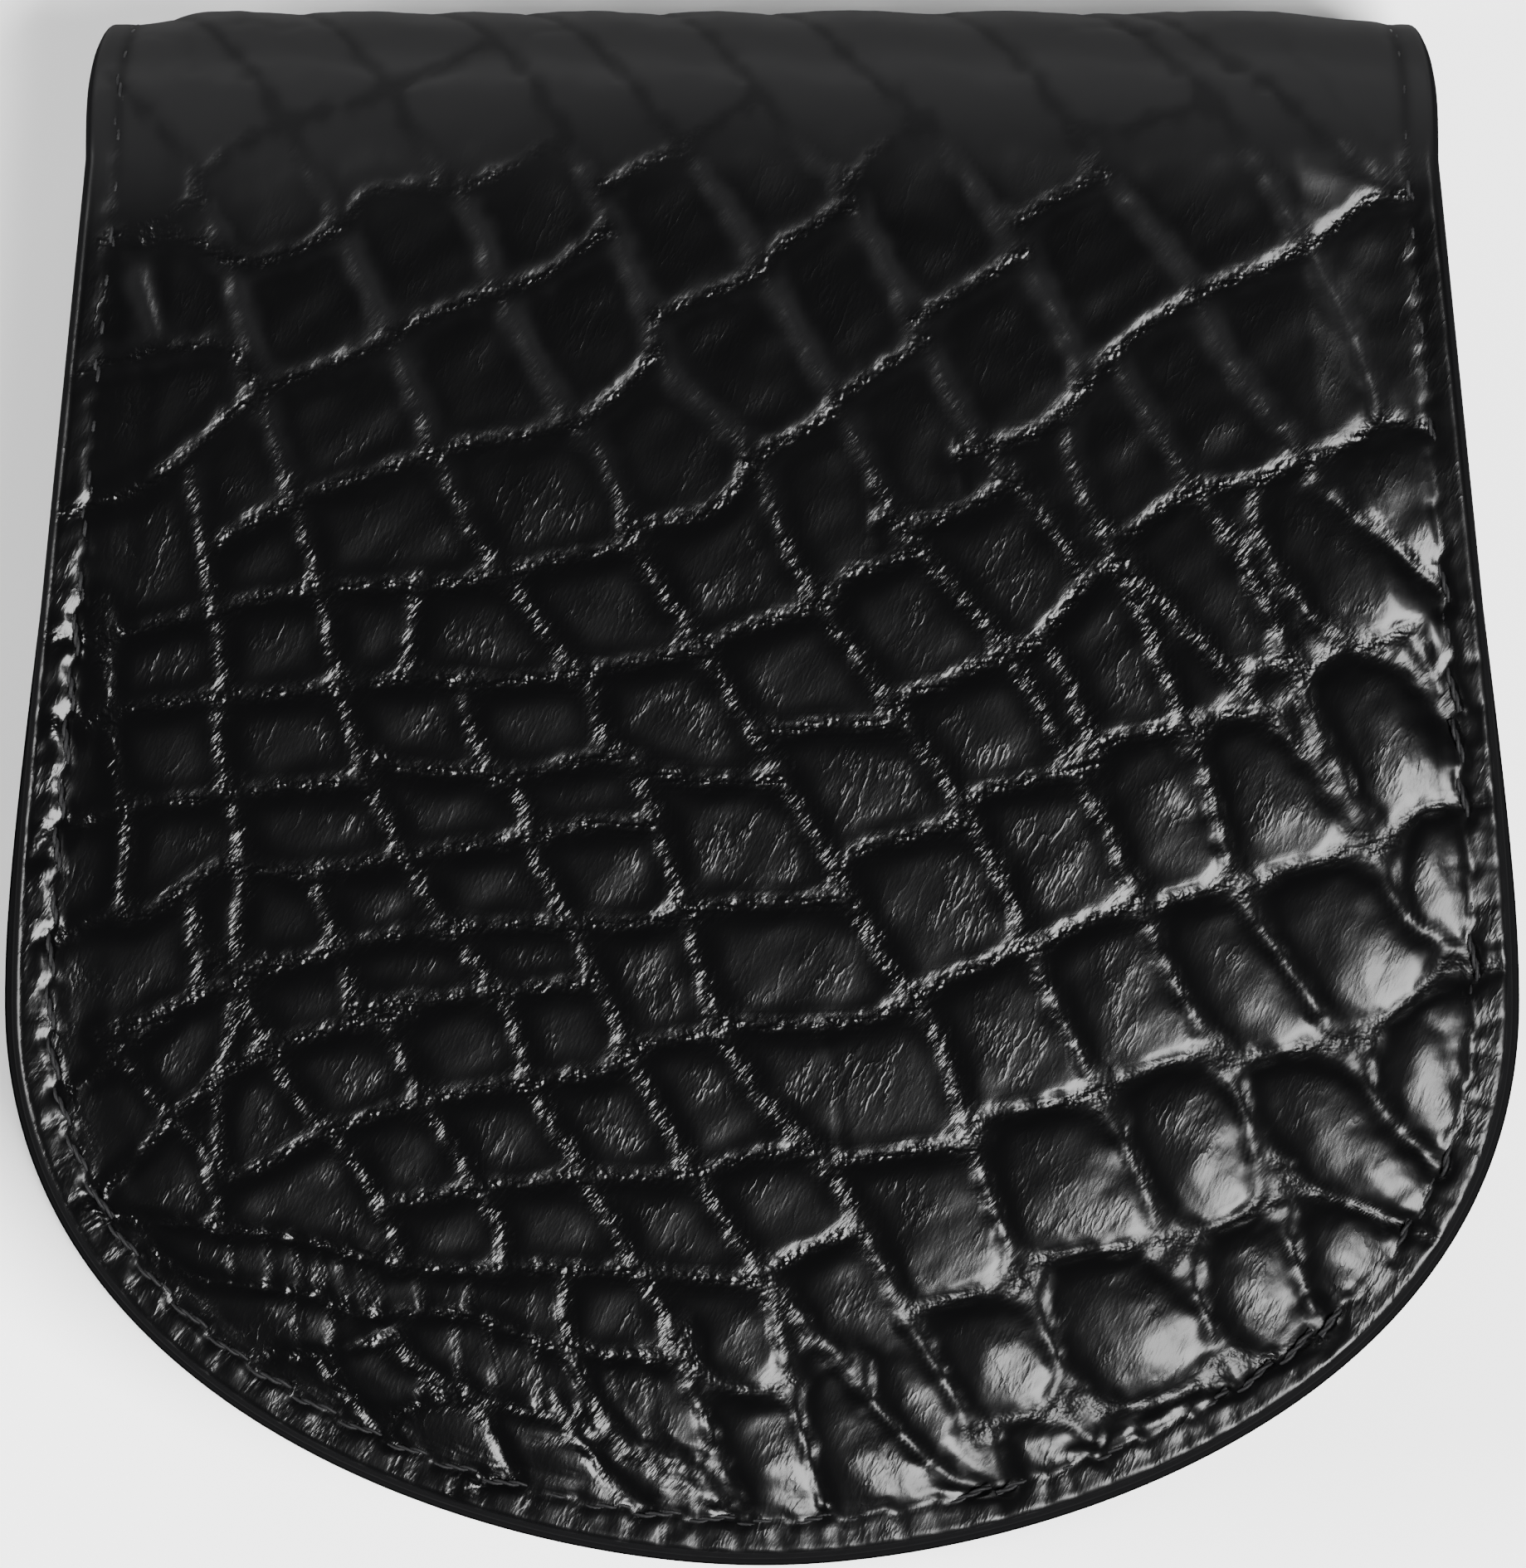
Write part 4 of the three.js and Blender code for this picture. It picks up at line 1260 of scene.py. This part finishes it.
def stitch_tree(material):
    """Geometry Nodes: one two-ply stitch on every point of a seam."""
    tree = bpy.data.node_groups.new("saddle_stitches", "GeometryNodeTree")
    outside = tree.interface
    outside.new_socket("Seam", in_out="INPUT", socket_type="NodeSocketGeometry")
    for name in ("Length", "Thickness", "Slant", "Sink", "Turns"):
        outside.new_socket(name, in_out="INPUT", socket_type="NodeSocketFloat")
    outside.new_socket("Seed", in_out="INPUT", socket_type="NodeSocketInt")
    outside.new_socket("Stitches", in_out="OUTPUT", socket_type="NodeSocketGeometry")

    def add(kind, inputs=None, **settings):
        return add_node(tree, kind, settings, inputs)

    def product(first, second):
        return add("ShaderNodeMath", {0: first, 1: second}, operation="MULTIPLY").outputs[0]

    def vector(x=0.0, y=0.0, z=0.0):
        return add("ShaderNodeCombineXYZ", {0: x, 1: y, 2: z}).outputs[0]

    given = add("NodeGroupInput").outputs
    half = product(given["Length"], 0.5)
    down = product(given["Sink"], -1.0)
    line = add("GeometryNodeCurveQuadraticBezier", {
        "Resolution": 12,
        "Start": vector(product(half, -1.0), 0.0, down),
        "Middle": vector(0.0, 0.0, given["Sink"]),
        "End": vector(half, 0.0, down),
    })
    turned = product(add("GeometryNodeSplineParameter").outputs["Factor"],
                   product(given["Turns"], 2 * math.pi))
    tilted = add("GeometryNodeSetCurveTilt", {"Curve": line.outputs[0], "Tilt": turned})
    strand = add("GeometryNodeCurvePrimitiveCircle", {
        "Resolution": 7,
        "Radius": product(given["Thickness"], PLY_RADIUS),
    })
    plies = add("GeometryNodeJoinGeometry")
    for side in (-PLY_APART, PLY_APART):
        moved = add("GeometryNodeTransform", {
            "Geometry": strand.outputs["Curve"],
            "Translation": vector(product(given["Thickness"], side)),
        })
        tree.links.new(moved.outputs[0], plies.inputs[0])
    stitch = add("GeometryNodeCurveToMesh", {
        "Curve": tilted.outputs[0],
        "Profile Curve": plies.outputs[0],
        "Fill Caps": True,
    })
    slanted = add("GeometryNodeTransform", {
        "Geometry": stitch.outputs[0],
        "Rotation": vector(0.0, 0.0, given["Slant"]),
    })

    def stored(name):
        return add("GeometryNodeInputNamedAttribute", {"Name": name},
                   data_type="FLOAT_VECTOR").outputs[0]

    ahead = add("FunctionNodeAlignRotationToVector", {"Vector": stored("ahead")}, axis="X")
    upright = add("FunctionNodeAlignRotationToVector",
                  {"Rotation": ahead.outputs[0], "Vector": stored("outwards")},
                  axis="Z", pivot_axis="X")
    size = add("FunctionNodeRandomValue",
               {"Min": SMALLEST, "Max": LARGEST, "Seed": given["Seed"]}, data_type="FLOAT_VECTOR")
    placed = add("GeometryNodeInstanceOnPoints", {
        "Points": given["Seam"],
        "Instance": slanted.outputs[0],
        "Rotation": upright.outputs[0],
        "Scale": size.outputs[0],
    })
    real = add("GeometryNodeRealizeInstances", {"Geometry": placed.outputs[0]})
    smooth = add("GeometryNodeSetShadeSmooth", {"Geometry": real.outputs[0]})
    painted = add("GeometryNodeSetMaterial", {"Geometry": smooth.outputs[0], "Material": material})
    out = add("NodeGroupOutput")
    tree.links.new(painted.outputs[0], out.inputs[0])
    return tree


def seam_mesh(name, skin, place):
    """Points of a seam, one at each stitch, with their directions."""
    middle = seam_points(skin.border, skin.arcs, 0, skin.seam_shift)
    further = seam_points(skin.border, skin.arcs, 0.3, skin.seam_shift)
    here = place(middle, 0)
    mesh = mesh_of(name, here)
    for attribute, end in (("ahead", place(further, 0)), ("outwards", place(middle, 1))):
        store(mesh, attribute, "FLOAT_VECTOR", "vector", end - here)
    return mesh


def on_cover(skin, bend):
    """Places pattern points in the seam's trough on a cover piece."""
    def place(points, above):
        inset = seam_inset(points[:, 1]) + skin.seam_shift
        return bend(points[:, 0], points[:, 1], skin.base(inset) - STITCH_DEPTH + above)
    return place


def on_flange(points, above):
    """Places pattern points on the gusset's flange, where the back panel's seam comes through."""
    height = np.full(len(points), FULL + GAP + LEATHER - FLANGE_STITCH_DEPTH + above)
    return np.column_stack([points[:, 0], FOLD_Y + points[:, 1], height])


def stitched(name, mesh, tree, stitches, seed):
    """Runs the stitch tree over a seam and keeps its result as a plain mesh."""
    piece = into_scene(name, mesh)
    modifier = piece.modifiers.new("stitches", "NODES")
    modifier.node_group = tree
    sizes = {
        "Length": (stitches.length + HIDDEN_ENDS) * MM,
        "Thickness": stitches.thickness * MM,
        "Slant": stitches.slant,
        "Sink": STITCH_SINK * MM,
        "Turns": STITCH_TURNS,
        "Seed": seed,
    }
    for socket in tree.interface.items_tree:
        if socket.name in sizes:
            modifier[socket.identifier] = sizes[socket.name]
    sewn = piece.evaluated_get(bpy.context.evaluated_depsgraph_get())
    made = bpy.data.meshes.new_from_object(sewn)
    piece.modifiers.clear()
    piece.data = made
    return piece


# ---- Pieces ----


def declare(piece, slot, *nodes):
    """Puts a piece under the body that carries it and hides the nodes it stands for. The slot is
    not used.
    """
    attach(piece, BODY)
    if nodes:
        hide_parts(*nodes)


def placed_piece(name, mesh, material, slot, node, crisp):
    """Adds a mesh as the piece of a CAD node. Edges sharper than an angle in degrees stay crisp."""
    mesh.materials.append(material)
    mesh.shade_smooth()
    mesh.set_sharp_from_angle(angle=math.radians(crisp))
    declare(into_scene(name, mesh), slot, node)


skins = {}


def skin_of(side, scene):
    """The relief of one cover piece, worked out once."""
    if side not in skins:
        leather, stitches = scene.wallet_leather, scene.wallet_stitches
        if side == "front":
            border = Border(np.vstack([half_outline(0), fold_edge()]))
            grooves, rises, creases = front_grooves()
            creases += rim_ticks(border)
            skins[side] = Skin(border, grooves, rises, creases, leather, stitches, FOLD_TURN, True)
        else:
            border = Border(half_outline(BODY_PROUD))
            skins[side] = Skin(border, *back_grooves(), leather, stitches, 0, False)
    return skins[side]


FRONT_COLUMNS = 244
FRONT_ROWS = 304
HIDDEN_ROWS = 28                # rows of the front grid that lie round the fold's hidden turn
HIDDEN_FROM = 12.5              # v at which the hidden turn begins
BACK_COLUMNS = 120
BACK_ROWS = 132


class WALLET_OT_cover(bpy.types.Operator):
    """Build the crocodile cover: the flap with the fold, and the back panel"""

    bl_idname = "wallet.cover"
    bl_label = "Build crocodile cover"

    def execute(self, context):
        material = crocodile_finish(context.scene.wallet_leather)
        front = cover_shell("cover_front", skin_of("front", context.scene), bend_front,
                            FRONT_COLUMNS, FRONT_ROWS, HIDDEN_ROWS, HIDDEN_FROM)
        back = cover_shell("cover_back", skin_of("back", context.scene), bend_back,
                           BACK_COLUMNS, BACK_ROWS)
        back.flip_normals()
        for name, mesh in (("cover_front", front), ("cover_back", back)):
            placed_piece(name, mesh, material, "crocodile_leather", "outer_cover", 75)
        return {"FINISHED"}


class WALLET_OT_inside(bpy.types.Operator):
    """Build the gusset and the pocket panel"""

    bl_idname = "wallet.inside"
    bl_label = "Build gusset and pocket"

    def execute(self, context):
        material = smooth_leather_finish()
        for name, mesh, node in (("gusset_strip", gusset_mesh(), "gusset"),
                                 ("pocket_front", pocket_mesh(), "pocket_panel")):
            placed_piece(name, mesh, material, "smooth_leather", node, 50)
        return {"FINISHED"}


class WALLET_OT_stud(bpy.types.Operator):
    """Build the hidden press stud"""

    bl_idname = "wallet.stud"
    bl_label = "Build press stud"

    def execute(self, context):
        placed_piece("press_stud", stud_mesh(), stud_finish(), "stud_metal", "snap_stud", 40)
        return {"FINISHED"}


class WALLET_OT_stitches(bpy.types.Operator):
    """Sew the border of the flap, the fold and the back panel with the gusset"""

    bl_idname = "wallet.stitches"
    bl_label = "Sew the border"

    def execute(self, context):
        stitches = context.scene.wallet_stitches
        tree = stitch_tree(thread_finish(stitches))
        front, back = skin_of("front", context.scene), skin_of("back", context.scene)
        seams = (
            ("front", front, on_cover(front, bend_front)),
            ("back", back, on_cover(back, bend_back)),
            ("gusset", back, on_flange),
        )
        for seed, (side, skin, place) in enumerate(seams, 3):
            seam = seam_mesh(side + "_seam", skin, place)
            declare(stitched("stitches_" + side, seam, tree, stitches, seed), "thread")
        return {"FINISHED"}


# ---- Stage ----

PICTURE_HEIGHT = 86.8 * MM      # height of the frame at the flap
PICTURE_MIDDLE = (0.05 * MM, 0.47 * MM)
SENSOR = 36.0
FLOOR_WIDTH = 2400
FLOOR_DROP = 0.2                # the floor lies a little under the leather
PALE_SKY = 2.0                  # strength of the surroundings that the camera sees
DIM_SKY = (0.004, 0.004, 0.0041, 1)
LAMPS = (
    ("key", (0.8, 0.8), (0.69, -0.53, 1.34)),       # name, width and height, and place in metres
    ("side", (0.22, 0.35), (-0.68, -0.05, 0.27)),
    ("panel", (0.9, 0.2), (-0.1, 0.75, 0.17)),
)
LIT_POINT = (0, 0, 0.01)


def add_lamp(name, size, power, place):
    """A rectangular lamp that faces the wallet."""
    data = bpy.data.lights.new(name, "AREA")
    data.shape = "RECTANGLE"
    data.size, data.size_y = size
    data.energy = power
    lamp = into_scene(name, data)
    lamp.location = place
    lamp.rotation_mode = "QUATERNION"
    lamp.rotation_quaternion = Vector(np.subtract(LIT_POINT, place)).to_track_quat("-Z", "Y")


class WALLET_OT_stage(bpy.types.Operator):
    """Add the floor, the lamps, the surroundings and the camera"""

    bl_idname = "wallet.stage"
    bl_label = "Set the stage"

    def execute(self, context):
        stage = context.scene.wallet_stage
        half = FLOOR_WIDTH / 2
        corners = np.array([(-half, -half, 0), (half, -half, 0), (half, half, 0), (-half, half, 0)])
        mesh = mesh_of("floor", corners, [(0, 1, 2, 3)])
        finish = Finish("floor", Roughness=0.75)
        finish.surface.inputs["Base Color"].default_value = (*stage.floor_colour, 1)
        mesh.materials.append(finish.material)
        floor = into_scene("floor", mesh)
        floor.location.z = FLOOR_DROP * -MM

        for name, size, place in LAMPS:
            add_lamp(name, size, getattr(stage, name + "_power"), place)

        world = bpy.data.worlds.new("studio")
        world.use_nodes = True
        sky = world.node_tree
        dim = sky.nodes["Background"]
        dim.inputs["Color"].default_value = DIM_SKY
        pale = add_node(sky, "ShaderNodeBackground", None,
                        {"Color": (*stage.floor_colour, 1), "Strength": PALE_SKY})
        seen = add_node(sky, "ShaderNodeLightPath").outputs["Is Camera Ray"]
        both = add_node(sky, "ShaderNodeMixShader", None,
                        {0: seen, 1: dim.outputs[0], 2: pale.outputs[0]})
        sky.links.new(both.outputs[0], sky.nodes["World Output"].inputs["Surface"])
        context.scene.world = world

        data = bpy.data.cameras.new("camera")
        data.sensor_width = SENSOR
        data.lens = SENSOR * (stage.camera_height - (MID_Z + OUTER_RADIUS) * MM) / PICTURE_HEIGHT
        data.clip_start = 0.01
        camera = into_scene("camera", data)
        camera.location = (*PICTURE_MIDDLE, stage.camera_height)
        context.scene.camera = camera
        return {"FINISHED"}


class WALLET_PT_parts(bpy.types.Panel):
    """Lists the steps and the settings"""

    bl_label = "Coin wallet"
    bl_idname = "WALLET_PT_parts"
    bl_space_type = "VIEW_3D"
    bl_region_type = "UI"
    bl_category = "Wallet"

    def draw(self, context):
        scene = context.scene
        for step in STEPS:
            self.layout.operator(step.bl_idname)
        for settings in (scene.wallet_leather, scene.wallet_stitches, scene.wallet_stage):
            box = self.layout.box()
            for name in settings.bl_rna.properties.keys():
                if name not in ("rna_type", "name"):
                    box.prop(settings, name)


SETTINGS = {
    "wallet_leather": LeatherSettings,
    "wallet_stitches": StitchSettings,
    "wallet_stage": StageSettings,
}
STEPS = (WALLET_OT_stage, WALLET_OT_cover, WALLET_OT_inside, WALLET_OT_stud, WALLET_OT_stitches)


def register():
    """Registers the settings, the steps and the panel."""
    for name, kind in SETTINGS.items():
        bpy.utils.register_class(kind)
        setattr(bpy.types.Scene, name, bpy.props.PointerProperty(type=kind))
    for kind in STEPS + (WALLET_PT_parts,):
        bpy.utils.register_class(kind)


def unregister():
    """Takes them away again."""
    for kind in (WALLET_PT_parts,) + STEPS[::-1]:
        bpy.utils.unregister_class(kind)
    for name, kind in SETTINGS.items():
        delattr(bpy.types.Scene, name)
        bpy.utils.unregister_class(kind)


def main():
    """Builds everything."""
    register()
    bpy.ops.wallet.stage()
    bpy.ops.wallet.cover()
    bpy.ops.wallet.inside()
    bpy.ops.wallet.stud()
    bpy.ops.wallet.stitches()


if __name__ == "__main__":
    main()
